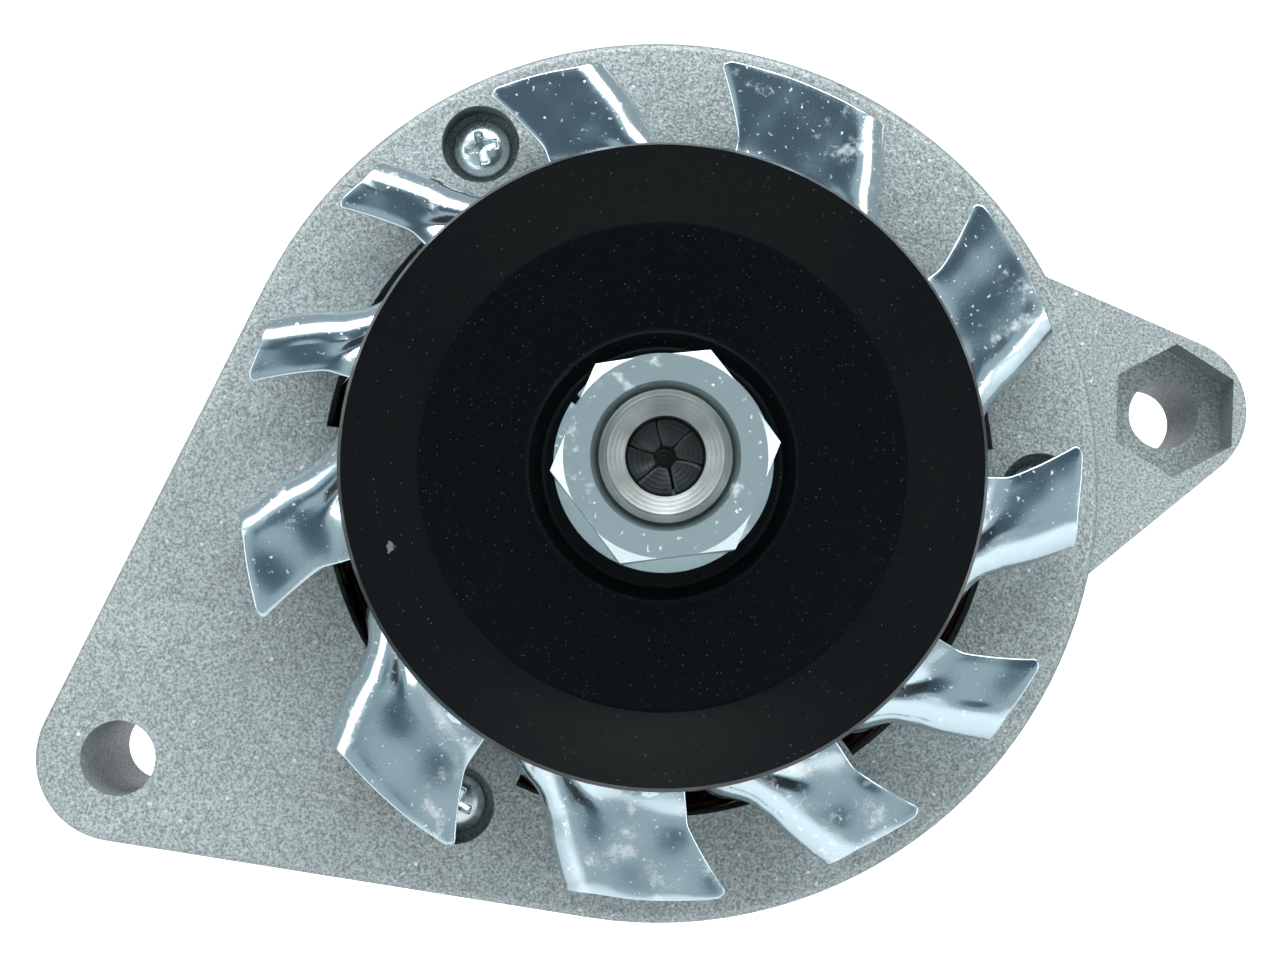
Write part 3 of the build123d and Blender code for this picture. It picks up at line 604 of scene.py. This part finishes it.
# %% Stacked sheets and varnished wire
def banded(name, clean, joint, pitch, direction, gloss, depth, metal, coat):
    mat = bpy.data.materials.new(name)
    mat.use_nodes = True
    nodes, links = mat.node_tree.nodes, mat.node_tree.links
    nodes.clear()

    band_frame = nodes.new("NodeFrame")
    band_frame.label = "bands"
    varnish_frame = nodes.new("NodeFrame")
    varnish_frame.label = "uneven varnish"

    place = nodes.new("ShaderNodeTexCoord")
    place.label = "place on the piece"
    place.location = (-1300, 0)

    bands = nodes.new("ShaderNodeTexWave")
    bands.label = "one band each"
    bands.location = (-1050, 200)
    bands.parent = band_frame
    bands.bands_direction = direction
    bands.inputs["Scale"].default_value = 0.314 / pitch
    bands.inputs["Distortion"].default_value = 0.25

    varnish = nodes.new("ShaderNodeTexNoise")
    varnish.label = "runs and thin places"
    varnish.location = (-1050, -150)
    varnish.parent = varnish_frame
    varnish.inputs["Scale"].default_value = 140.0
    varnish.inputs["Detail"].default_value = 4.0

    tone = nodes.new("ShaderNodeMix")
    tone.label = "face to joint"
    tone.location = (-700, 200)
    tone.data_type = "RGBA"
    tone.inputs["A"].default_value = (*joint, 1)
    tone.inputs["B"].default_value = (*clean, 1)

    thin = nodes.new("ShaderNodeMapRange")
    thin.label = "varnish depth"
    thin.location = (-700, -150)
    thin.inputs["To Min"].default_value = 0.65
    thin.inputs["To Max"].default_value = 1.25

    shade = nodes.new("ShaderNodeMix")
    shade.label = "varnish over the bands"
    shade.location = (-450, 100)
    shade.data_type = "RGBA"
    shade.blend_type = "MULTIPLY"
    shade.inputs["Factor"].default_value = 1.0

    rough = nodes.new("ShaderNodeMapRange")
    rough.label = "gloss of the varnish"
    rough.location = (-450, -150)
    rough.inputs["To Min"].default_value = gloss - 0.08
    rough.inputs["To Max"].default_value = gloss + 0.12

    relief = nodes.new("ShaderNodeBump")
    relief.label = "bands as bump"
    relief.location = (-450, -400)
    relief.parent = band_frame
    relief.inputs["Strength"].default_value = 0.7
    relief.inputs["Distance"].default_value = depth

    shader = nodes.new("ShaderNodeBsdfPrincipled")
    shader.label = "varnished metal"
    shader.location = (-150, 0)
    shader.inputs["Metallic"].default_value = metal
    shader.inputs["Coat Weight"].default_value = coat
    shader.inputs["Coat Roughness"].default_value = 0.18

    output = nodes.new("ShaderNodeOutputMaterial")
    output.location = (150, 0)

    links.new(place.outputs["Object"], bands.inputs["Vector"])
    links.new(place.outputs["Object"], varnish.inputs["Vector"])
    links.new(bands.outputs["Fac"], tone.inputs["Factor"])
    links.new(varnish.outputs["Fac"], thin.inputs["Value"])
    links.new(tone.outputs["Result"], shade.inputs["A"])
    links.new(thin.outputs["Result"], shade.inputs["B"])
    links.new(varnish.outputs["Fac"], rough.inputs["Value"])
    links.new(bands.outputs["Fac"], relief.inputs["Height"])
    links.new(shade.outputs["Result"], shader.inputs["Base Color"])
    links.new(rough.outputs["Result"], shader.inputs["Roughness"])
    links.new(relief.outputs["Normal"], shader.inputs["Normal"])
    links.new(shader.outputs["BSDF"], output.inputs["Surface"])
    return mat


stack_finish = banded(
    "core_steel", (0.20, 0.19, 0.18), (0.05, 0.05, 0.05), 0.0010, "Y", 0.45, 0.00008, 0.7, 0.2
)
copper_finish = banded(
    "winding_copper", (0.17, 0.072, 0.035), (0.06, 0.026, 0.014), 0.0016, "Y", 0.28, 0.0001, 0.5, 0.5
)
print("banded finishes:", stack_finish.name, copper_finish.name)


# %% [markdown]
# Plastics, phenolic, insulating paper and brush carbon are moulded or pressed: an even
# colour with a fine skin grain, slightly paler where it has been rubbed.


# %% Moulded plastics and carbon
def moulded(name, colour_dark, colour_pale, gloss, grain_size):
    mat = bpy.data.materials.new(name)
    mat.use_nodes = True
    nodes, links = mat.node_tree.nodes, mat.node_tree.links
    nodes.clear()

    skin_frame = nodes.new("NodeFrame")
    skin_frame.label = "moulded skin"

    place = nodes.new("ShaderNodeTexCoord")
    place.label = "place on the moulding"
    place.location = (-1200, 0)

    skin = nodes.new("ShaderNodeTexNoise")
    skin.label = "skin grain"
    skin.location = (-950, 150)
    skin.parent = skin_frame
    skin.inputs["Scale"].default_value = 1.0 / grain_size

    rub = nodes.new("ShaderNodeTexNoise")
    rub.label = "rubbed places"
    rub.location = (-950, -150)
    rub.parent = skin_frame
    rub.inputs["Scale"].default_value = 90.0
    rub.inputs["Detail"].default_value = 5.0

    colour = nodes.new("ShaderNodeMix")
    colour.label = "clean to rubbed"
    colour.location = (-600, 150)
    colour.data_type = "RGBA"
    colour.inputs["A"].default_value = (*colour_dark, 1)
    colour.inputs["B"].default_value = (*colour_pale, 1)

    rough = nodes.new("ShaderNodeMapRange")
    rough.label = "skin gloss"
    rough.location = (-600, -100)
    rough.inputs["To Min"].default_value = gloss - 0.08
    rough.inputs["To Max"].default_value = gloss + 0.10

    relief = nodes.new("ShaderNodeBump")
    relief.label = "skin as bump"
    relief.location = (-600, -350)
    relief.inputs["Strength"].default_value = 0.3
    relief.inputs["Distance"].default_value = 0.00005

    shader = nodes.new("ShaderNodeBsdfPrincipled")
    shader.label = "moulded plastic"
    shader.location = (-200, 0)

    output = nodes.new("ShaderNodeOutputMaterial")
    output.location = (100, 0)

    links.new(place.outputs["Object"], skin.inputs["Vector"])
    links.new(place.outputs["Object"], rub.inputs["Vector"])
    links.new(rub.outputs["Fac"], colour.inputs["Factor"])
    links.new(rub.outputs["Fac"], rough.inputs["Value"])
    links.new(skin.outputs["Fac"], relief.inputs["Height"])
    links.new(colour.outputs["Result"], shader.inputs["Base Color"])
    links.new(rough.outputs["Result"], shader.inputs["Roughness"])
    links.new(relief.outputs["Normal"], shader.inputs["Normal"])
    links.new(shader.outputs["BSDF"], output.inputs["Surface"])
    return mat


phenolic_finish = moulded("phenolic", (0.10, 0.055, 0.035), (0.15, 0.09, 0.06), 0.45, 0.0008)
paper_finish = moulded("insulation", (0.50, 0.44, 0.30), (0.62, 0.56, 0.42), 0.60, 0.0006)
plastic_finish = moulded("black_plastic", (0.014, 0.014, 0.015), (0.035, 0.035, 0.037), 0.42, 0.0005)
carbon_finish = moulded("carbon", (0.035, 0.033, 0.033), (0.07, 0.06, 0.055), 0.55, 0.0004)
sleeve_finish = moulded("sleeve_plastic", (0.06, 0.055, 0.05), (0.11, 0.10, 0.09), 0.55, 0.0006)

finish_of_slot = {
    "cast_housing": cast_finish,
    "zinc_plate": small_zinc,
    "black_paint": enamel_finish,
    "turned_steel": shaft_finish,
    "bearing_steel": race_finish,
    "pole_steel": pole_finish,
    "core_steel": stack_finish,
    "winding_copper": copper_finish,
    "slip_copper": ring_finish,
    "phenolic": phenolic_finish,
    "insulation": paper_finish,
    "black_plastic": plastic_finish,
    "plate_aluminium": plate_finish,
    "brass_parts": brass_finish,
    "carbon": carbon_finish,
    "spring_steel": spring_finish,
    "cage_steel": cage_finish,
    "sleeve_plastic": sleeve_finish,
}
for part in frame["record"]["subparts"]:
    obj = nodes_of[part["node"]]
    obj.data.materials.clear()
    obj.data.materials.append(finish_of_slot[part["material_slot"]])
for name in ("shaft_nut", "lock_washer", "clamp_washer"):
    nodes_of[name].data.materials[0] = nut_finish
nodes_of["fan"].data.materials[0] = fan_finish
print("finishes on", len(nodes_of), "nodes")


# %% [markdown]
# The fan is one stamping of 1.5 mm zinc-plated steel: a disc with eleven arms, each
# widening into a blade. The trailing side of every blade is folded straight back, and
# the flat tips stand a little behind the disc. No two gaps are alike, which breaks
# up the whine. Where arm, flat and fold meet, the press draws a dimple into the sheet.
# Each blade is worked out row by row from the arm to the tip: the row runs from the free
# edge across the flat, round the fold, and down the folded wall.


# %% Pressed fan
BLADES = (
    (4.3, 14.2), (41.0, 21.4), (81.6, 24.6), (114.2, 16.8), (140.3, 9.4), (167.4, 9.7),
    (200.2, 15.6), (241.2, 23.0), (279.2, 22.2), (308.1, 15.0), (334.2, 13.2),
)
SHEET = 1.5  # thickness of the sheet, in mm like every size of the fan
BEND = 4.5  # radius of the fold
TIP_R = 57.8  # tip of the blades
CORNER_R = 1.7  # rounded corner between free edge and tip
FLAT_Y = 13.95  # front of the blade flats
DISC_Y = 13.52  # front of the disc
DISC_R, DISC_BORE_R, DISC_SHEET, DISC_STEPS = 37.0, 8.7, 1.46, 128
DIMPLE_R, DIMPLE_SPREAD, DIMPLE_DEPTH = 46.3, 1.9, 0.6
rng = np.random.default_rng(11)


def fold_outline(r, fold):
    """The point of the fold's outer line at radius r, in mm."""
    shift = np.interp(r, [36, 43.5, 45, 47, 49, 51.7, 57.5], [-14.5, -14, -11.6, -8, -5.5, -3.9, 0])
    return np.array(on_circle(r, fold + shift))


def blade_front(tip, width):
    """Rows of points on the front of one blade, from its arm to its tip."""
    radii = np.concatenate([np.linspace(36.2, 44, 9), np.linspace(44.7, TIP_R, 22)])
    flat_steps, bend_steps, wall_steps = 16, 10, 4
    fold = tip - width
    wobble = rng.uniform(0, 2 * math.pi, 4)
    grid = np.zeros((len(radii), flat_steps + bend_steps + wall_steps, 3))
    for i, r in enumerate(radii):
        free = tip + np.interp(r, [47.4, 48.2, 57.4], [-4.7, -4.4, 0])
        edge = fold_outline(r, fold)
        ahead = fold_outline(r + 0.6, fold) - fold_outline(r - 0.6, fold)
        ahead /= np.linalg.norm(ahead)
        away = np.array([ahead[1], -ahead[0]])
        turn = math.radians(np.interp(r, [37, 41, 43.5, 48], [1, 30, 74, 90]))
        wall = np.interp(r, [37, 41, 45, TIP_R], [0.3, 1.8, 3.3, 3.6])
        arc = BEND * math.pi / 2
        start = edge - away * math.sin(turn) * arc / turn
        start_r, start_a = np.linalg.norm(start), math.degrees(math.atan2(start[1], start[0]))
        start_a = fold - 30 + (start_a - fold + 30) % 360
        level = FLAT_Y + (DISC_Y - FLAT_Y) * np.interp(r, [43.2, 44.6, 46.4, 47.8], [1, 0.85, 0.15, 0])
        flat_mm = math.radians(free - start_a) * r
        for j in range(flat_steps):
            t = j / flat_steps
            s = t * flat_mm
            a, b = 1 - s / CORNER_R, 1 - (TIP_R - r) / CORNER_R
            if a > 0 and b > 0:
                a, b = a * math.sqrt(1 - b * b / 2), b * math.sqrt(1 - a * a / 2)
                s, r_here = CORNER_R * (1 - a), TIP_R - CORNER_R * (1 - b)
            else:
                r_here = r
            t = s / flat_mm
            here = on_circle(r_here + (start_r - r) * t, free + (start_a - free) * t)
            from_fold = flat_mm * (1 - t)
            across = ((from_fold - 2.6) / 2.3) ** 2
            dimple = DIMPLE_DEPTH * math.exp(-(((r - DIMPLE_R) / DIMPLE_SPREAD) ** 2) - across)
            swell = 0.13 * math.sin(0.55 * here[0] + wobble[0]) * math.sin(0.5 * here[1] + wobble[1])
            curl = 0.14 * math.exp(-((s / 0.9) ** 2)) * np.interp(r, [47, 49], [0.3, 1])
            grid[i, j] = (here[0], level + dimple + swell + curl, here[1])
        pinch = 0.7 * math.exp(-(((r - 46.5) / 1.6) ** 2))
        for j in range(bend_steps):
            part = j / (bend_steps - 1) * arc
            out = math.sin(turn * part / arc) * arc / turn - pinch * j / bend_steps
            back = (1 - math.cos(turn * part / arc)) * arc / turn
            spot = start + away * out
            fade = math.exp(-((r - DIMPLE_R) / DIMPLE_SPREAD) ** 2 - ((part + 2.6) / 2.3) ** 2)
            grid[i, flat_steps + j] = (spot[0], level + back + DIMPLE_DEPTH * fade, spot[1])
        last = grid[i, flat_steps + bend_steps - 1].copy()
        for j in range(wall_steps):
            down = wall * (j + 1) / wall_steps
            side = away * math.cos(turn) * down
            grid[i, flat_steps + bend_steps + j] = last + (side[0], math.sin(turn) * down, side[1])
    return grid


def sheet_from_front(front, thickness):
    """Points and faces of a sheet whose front is the given grid of points."""
    rows, columns = front.shape[:2]
    across = np.gradient(front, axis=1)
    along = np.gradient(front, axis=0)
    normal = np.cross(across, along)
    normal /= np.linalg.norm(normal, axis=2, keepdims=True)
    if normal[rows // 2, columns // 3, 1] < 0:
        normal = -normal
    back = front + normal * thickness
    points = np.concatenate([front.reshape(-1, 3), back.reshape(-1, 3)])
    half = rows * columns
    faces = grid_faces(rows, columns)
    faces += [tuple(half + v for v in reversed(face)) for face in grid_faces(rows, columns)]
    ring = list(range(columns))
    ring += [r * columns + columns - 1 for r in range(1, rows)]
    ring += [(rows - 1) * columns + c for c in range(columns - 2, -1, -1)]
    ring += [r * columns for r in range(rows - 2, 0, -1)]
    for a, b in zip(ring, ring[1:] + ring[:1]):
        faces.append((b, a, half + a, half + b))
    return points, faces


def soften(obj, width, angle=50):
    """Rounds every edge sharper than the angle, in place."""
    work = bmesh.new()
    work.from_mesh(obj.data)
    bmesh.ops.recalc_face_normals(work, faces=work.faces)
    sharp = [e for e in work.edges if e.is_manifold and e.calc_face_angle(0) > math.radians(angle)]
    bmesh.ops.bevel(work, geom=sharp, offset=width, segments=2, profile=0.6, affect="EDGES")
    for face in work.faces:
        face.smooth = True
    work.to_mesh(obj.data)
    work.free()


fan_points, fan_faces = [], []
for tip, width in BLADES:
    points, faces = sheet_from_front(blade_front(tip, width), SHEET)
    add_part(fan_points, fan_faces, points, faces)
disc = [
    (DISC_BORE_R, DISC_Y),
    (DISC_R, DISC_Y),
    (DISC_R, DISC_Y + DISC_SHEET),
    (DISC_BORE_R, DISC_Y + DISC_SHEET),
]
disc_faces = []
for r in range(4):
    for c in range(DISC_STEPS):
        d, q = (c + 1) % DISC_STEPS, (r + 1) % 4
        here, below = r * DISC_STEPS, q * DISC_STEPS
        disc_faces.append((here + c, here + d, below + d, below + c))
add_part(fan_points, fan_faces, turned_points(disc, DISC_STEPS), disc_faces)
fan_piece = new_piece("pressed_fan", fan_points, fan_faces, fan_finish, "rotor")
soften(fan_piece, 0.0002)
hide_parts("fan")
print("fan:", len(fan_piece.data.vertices), "points on", len(BLADES), "blades")


# %% [markdown]
# Three long screws hold the two frames together over the stator. Their heads are low
# domes with a cross recess, so each head is a round grid of points whose height is the
# dome less the recess, with the rim and the shank turned below it.


# %% Through screws
SCREW_PITCH_R = 53.6  # distance of the screws from the shaft, in mm
HEAD_R, HEAD_TOP_Y, DOME_FALL = 4.1, 26.0, 1.25
CROSS_REACH, CROSS_DEPTH = 2.35, 1.7
screw_points, screw_faces = [], []
for screw_angle, cross_turn in ((118, 14), (-2, 40), (-122, 65)):
    centre = on_circle(SCREW_PITCH_R, screw_angle)
    steps = 96
    rows = []
    for k in range(30):
        rho = 0.02 + 3.95 * k / 29
        dome = HEAD_TOP_Y + DOME_FALL * (rho / HEAD_R) ** 2.4
        for i in range(steps):
            a = 2 * math.pi * i / steps
            b = a - math.radians(cross_turn)
            u, v = abs(rho * math.cos(b)), abs(rho * math.sin(b))
            arm = min(u, v)
            reach = max(u, v)
            depth = CROSS_DEPTH * max(0.0, 1 - reach / CROSS_REACH) ** 0.6
            depth *= 1 - np.interp(arm, [0.38, 0.62], [0, 1])
            rows.append((centre[0] + rho * math.cos(a), dome + depth, centre[1] + rho * math.sin(a)))
    head_rim = [(HEAD_R, 27.5), (HEAD_R, 29.2), (3.9, 29.5)]
    shank = [(2.5, 29.5), (2.5, 111.0), (2.1, 112.0), (0.01, 112.0)]
    rows += turned_points(head_rim + shank, steps, centre)
    add_part(screw_points, screw_faces, rows, grid_faces(len(rows) // steps, steps, closed=True))
screws = new_piece("cross_head_screws", screw_points, screw_faces, small_zinc, "frame")
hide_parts("through_screws")
screws.data.set_sharp_from_angle(angle=math.radians(40))
print("screws:", len(screws.data.vertices), "points")


# %% [markdown]
# The shaft end has a hexagon socket to hold it while the nut is turned. The broach that
# cut it left its chips curled at the bottom: six dark petals that almost meet, with a
# star-shaped gap between them.


# %% Broaching chips in the socket
SOCKET_R, CHIP_Y, CHIP_SHEET = 4.75, -22.9, 0.25
chip_points, chip_faces = [], []
for k in range(6):
    middle = 12 + 60 * k + rng.uniform(-3, 3)
    front = np.zeros((9, 7, 3))
    for i in range(9):
        t = i / 8
        rho = SOCKET_R - 3.55 * t
        spread = 29.6 * (1 - 0.30 * t**4)
        for j in range(7):
            q = j / 6 * 2 - 1
            spot = on_circle(rho, middle + spread * q + 5 * t)
            lift = CHIP_Y + 0.5 * t * (1 - t) * 4 * (0.25 - 0.5 * q * q) + 0.5 * t * t
            front[i, j] = (spot[0], lift - 0.10 * q, spot[1])
    points, faces = sheet_from_front(front, CHIP_SHEET)
    add_part(chip_points, chip_faces, points, faces)
chip_finish = worked_metal("dark_chips", (0.045, 0.055, 0.055), (0.012, 0.014, 0.014), 0.42, 0.0006)
chips = new_piece("socket_chips", chip_points, chip_faces, chip_finish, "rotor")
print("chips:", len(chips.data.vertices), "points")


# %% [markdown]
# The stator winding is many turns of round wire, laid in the slots and looped over from
# one slot to the third one along at each end of the stack, then tied and dipped. Each
# loop here is a bundle of four wires bent over in an arch, with a little scatter, because
# hand-laid wire never lies even. Bars fill the slots, and three leads leave at the rear.


# %% Stator winding
SLOTS, SLOT_ANGLE = 36, 10
STACK_FRONT_Y, STACK_REAR_Y = 52.0, 84.0
wire_points, wire_faces = [], []


def add_wire(path, radius, sides=7):
    """A round wire along a list of points, in mm."""
    path = np.array(path, float)
    heading = np.gradient(path, axis=0)
    heading /= np.linalg.norm(heading, axis=1, keepdims=True)
    side = np.cross(heading, path - path.mean(axis=0) * (0, 1, 0) + (0, 0, 1e-6))
    side /= np.linalg.norm(side, axis=1, keepdims=True)
    other = np.cross(heading, side)
    base = len(wire_points)
    for spot, u, v in zip(path, side, other):
        for k in range(sides):
            a = 2 * math.pi * k / sides
            wire_points.append(tuple((spot + radius * (math.cos(a) * u + math.sin(a) * v)) * MM))
    for face in grid_faces(len(path), sides, closed=True):
        wire_faces.append(tuple(base + v for v in face))
    last = base + (len(path) - 1) * sides
    wire_faces.append(tuple(range(base, base + sides)))
    wire_faces.append(tuple(range(last + sides - 1, last - 1, -1)))


for stack_end, tip_y, way in ((STACK_FRONT_Y, 45.2, -1), (STACK_REAR_Y, 90.8, 1)):
    for slot_number in range(SLOTS):
        for wire in range(4):
            layer = slot_number % 3
            rho = 44.6 + 1.55 * layer + 0.9 * (wire % 2) + rng.uniform(-0.12, 0.12)
            reach = abs(tip_y - stack_end) - 0.9 * (wire // 2) - rng.uniform(0.2, 0.9)
            first = SLOT_ANGLE * slot_number + rng.uniform(-1.2, 1.2)
            path = []
            for k in range(15):
                t = k / 14
                angle = first + 3 * SLOT_ANGLE * t
                rise = reach * math.sin(math.pi * t) ** 0.45
                spot = on_circle(rho + 0.35 * math.sin(math.pi * t), angle)
                path.append((spot[0], stack_end + way * rise, spot[1]))
            add_wire(path, 0.52)
for slot_number in range(SLOTS):
    for rho, shift in ((44.4, -0.9), (44.4, 0.9), (46.2, -0.9), (46.2, 0.9), (48.0, -0.9), (48.0, 0.9)):
        spot = on_circle(rho, SLOT_ANGLE * slot_number) + on_circle(shift, SLOT_ANGLE * slot_number + 90)
        add_wire([(spot[0], y, spot[1]) for y in (51.6, 68.0, 84.4)], 0.85, 6)
for lead in (30, 84, 138):
    spot = on_circle(48.5, lead)
    add_wire([(spot[0], y, spot[1]) for y in (87.0, 90.0, 93.0)], 0.9, 12)
winding = new_piece("wire_winding", wire_points, wire_faces, copper_finish, "frame")
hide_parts("stator_winding")
print("winding:", len(winding.data.vertices), "points")


# %% [markdown]
# A small coil spring behind each brush keeps it on its slip ring. It shortens as the
# brush is pushed back; here the coil is drawn as a wire along an even helix, rising from
# its fixed lower end.


# %% Brush springs
COIL_R, COIL_LENGTH, COIL_PITCH, COIL_FOOT_Z = 1.9, 11.2, 2.05, -43.6
COIL_STEPS = 240
for row, middle_y in (("front", 95.5), ("rear", 105.0)):
    wire_points, wire_faces = [], []
    coil = []
    for k in range(COIL_STEPS + 1):
        turn = 2 * math.pi * COIL_LENGTH / COIL_PITCH * k / COIL_STEPS
        height = COIL_FOOT_Z + COIL_LENGTH * k / COIL_STEPS
        coil.append((COIL_R * math.cos(turn), middle_y + COIL_R * math.sin(turn), height))
    add_wire(coil, 0.3, 10)
    coil_piece = new_piece(row + "_coil", wire_points, wire_faces, spring_finish, "frame")
    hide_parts(row + "_brush_spring")
    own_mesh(coil_piece)
    print(coil_piece.name, len(coil_piece.data.vertices), "points")


# %% [markdown]
# The camera looks along the shaft from the pulley end, a little from below, with a lens
# a bit longer than normal.


# %% Camera
camera_data = bpy.data.cameras.new("camera")
camera_data.lens = 63.48
camera_data.sensor_width = 36.0
camera = bpy.data.objects.new("camera", camera_data)
scene.collection.objects.link(camera)
scene.camera = camera
camera.location = (-0.005386, -0.29273, -0.01756)
yaw, pitch = 0.00917, 0.0534
view_line = Vector((math.sin(yaw) * math.cos(pitch), math.cos(yaw) * math.cos(pitch), math.sin(pitch)))
camera.rotation_euler = view_line.to_track_quat("-Z", "Y").to_euler()
camera_data.clip_start = 0.01
print("camera at", tuple(round(v, 4) for v in camera.location), "lens", camera_data.lens)


# %% [markdown]
# The room is a white studio: pale floor, white walls behind and at the sides, and a
# dimmer part on the camera's side. Flat plated faces look back at that dim part and stay
# dark, while bends look at the white walls and flash.


# %% Floor, room and lights
floor_y = [-0.9, -0.4, 0.5, 1.6, 2.2, 2.5, 2.6, 2.6]
floor_z = [-0.30, -0.30, -0.30, -0.30, -0.2, 0.1, 0.6, 2.6]
floor_points = []
for y, z in zip(floor_y, floor_z):
    floor_points.append((-3.0, y, z))
    floor_points.append((3.0, y, z))
floor_mesh = bpy.data.meshes.new("floor")
floor_mesh.from_pydata(floor_points, [], grid_faces(len(floor_y), 2))
floor = bpy.data.objects.new("floor", floor_mesh)
scene.collection.objects.link(floor)
for polygon in floor_mesh.polygons:
    polygon.use_smooth = True

paper = bpy.data.materials.new("studio_paper")
paper.use_nodes = True
paper_nodes, paper_links = paper.node_tree.nodes, paper.node_tree.links
paper_nodes.clear()
paper_place = paper_nodes.new("ShaderNodeTexCoord")
paper_place.label = "place in the room"
paper_place.location = (-900, 0)
paper_split = paper_nodes.new("ShaderNodeSeparateXYZ")
paper_split.label = "distance behind the object"
paper_split.location = (-700, 0)
paper_glow = paper_nodes.new("ShaderNodeMapRange")
paper_glow.label = "only the backdrop is lit through"
paper_glow.location = (-500, 0)
paper_glow.inputs["From Min"].default_value = 0.5
paper_glow.inputs["From Max"].default_value = 1.35
paper_glow.inputs["To Min"].default_value = 0.0
paper_glow.inputs["To Max"].default_value = 0.9
paper_shader = paper_nodes.new("ShaderNodeBsdfPrincipled")
paper_shader.label = "matt paper"
paper_shader.location = (-250, 0)
paper_shader.inputs["Base Color"].default_value = (0.90, 0.90, 0.90, 1)
paper_shader.inputs["Roughness"].default_value = 0.9
paper_shader.inputs["Emission Color"].default_value = (1, 1, 1, 1)
paper_out = paper_nodes.new("ShaderNodeOutputMaterial")
paper_out.location = (50, 0)
paper_links.new(paper_place.outputs["Object"], paper_split.inputs["Vector"])
paper_links.new(paper_split.outputs["Y"], paper_glow.inputs["Value"])
paper_links.new(paper_glow.outputs["Result"], paper_shader.inputs["Emission Strength"])
paper_links.new(paper_shader.outputs["BSDF"], paper_out.inputs["Surface"])
floor_mesh.materials.append(paper)

world = bpy.data.worlds.new("studio")
scene.world = world
world.use_nodes = True
room_nodes, room_links = world.node_tree.nodes, world.node_tree.links
room_nodes.clear()
room_place = room_nodes.new("ShaderNodeTexCoord")
room_place.label = "direction"
room_place.location = (-800, 0)
room_dot = room_nodes.new("ShaderNodeVectorMath")
room_dot.label = "how far toward the dim side"
room_dot.location = (-600, 0)
room_dot.operation = "DOT_PRODUCT"
room_dot.inputs[1].default_value = Vector((-0.02, -0.95, 0.30)).normalized()
room_tone = room_nodes.new("ShaderNodeValToRGB")
room_tone.label = "white walls to dim front"
room_tone.location = (-400, 0)
steps_of_tone = [
    (0.25, (0.46, 0.49, 0.51)),
    (0.80, (0.52, 0.58, 0.60)),
    (0.918, (0.52, 0.61, 0.64)),
    (0.945, (0.38, 0.47, 0.50)),
    (0.966, (0.06, 0.12, 0.165)),
    (0.990, (0.02, 0.06, 0.10)),
]
while len(room_tone.color_ramp.elements) < len(steps_of_tone):
    room_tone.color_ramp.elements.new(0.5)
for element, (where, tone) in zip(room_tone.color_ramp.elements, steps_of_tone):
    element.position = where
    element.color = (*tone, 1)
room_light = room_nodes.new("ShaderNodeBackground")
room_light.label = "light of the room"
room_light.location = (-100, 0)
room_light.inputs["Strength"].default_value = 1.0
room_out = room_nodes.new("ShaderNodeOutputWorld")
room_out.location = (100, 0)
room_links.new(room_place.outputs["Generated"], room_dot.inputs[0])
room_links.new(room_dot.outputs["Value"], room_tone.inputs["Fac"])
room_links.new(room_tone.outputs["Color"], room_light.inputs["Color"])
room_links.new(room_light.outputs["Background"], room_out.inputs["Surface"])


AIM = Vector((0, 0.02, 0))  # just behind the belt plane


def softbox(name, place, width, height, power):
    data = bpy.data.lights.new(name, "AREA")
    data.shape = "RECTANGLE"
    data.size = width
    data.size_y = height
    data.energy = power
    light = bpy.data.objects.new(name, data)
    scene.collection.objects.link(light)
    light.location = place
    light.rotation_euler = (AIM - Vector(place)).to_track_quat("-Z", "Y").to_euler()


softbox("right_softbox", (0.62, -0.42, 0.02), 0.4, 0.5, 2.0)
softbox("left_softbox", (-0.62, -0.46, 0.05), 0.4, 0.5, 2.0)
softbox("top_softbox", (-0.02, -0.42, 0.60), 1.2, 0.4, 10.0)
scene.view_settings.view_transform = "Standard"
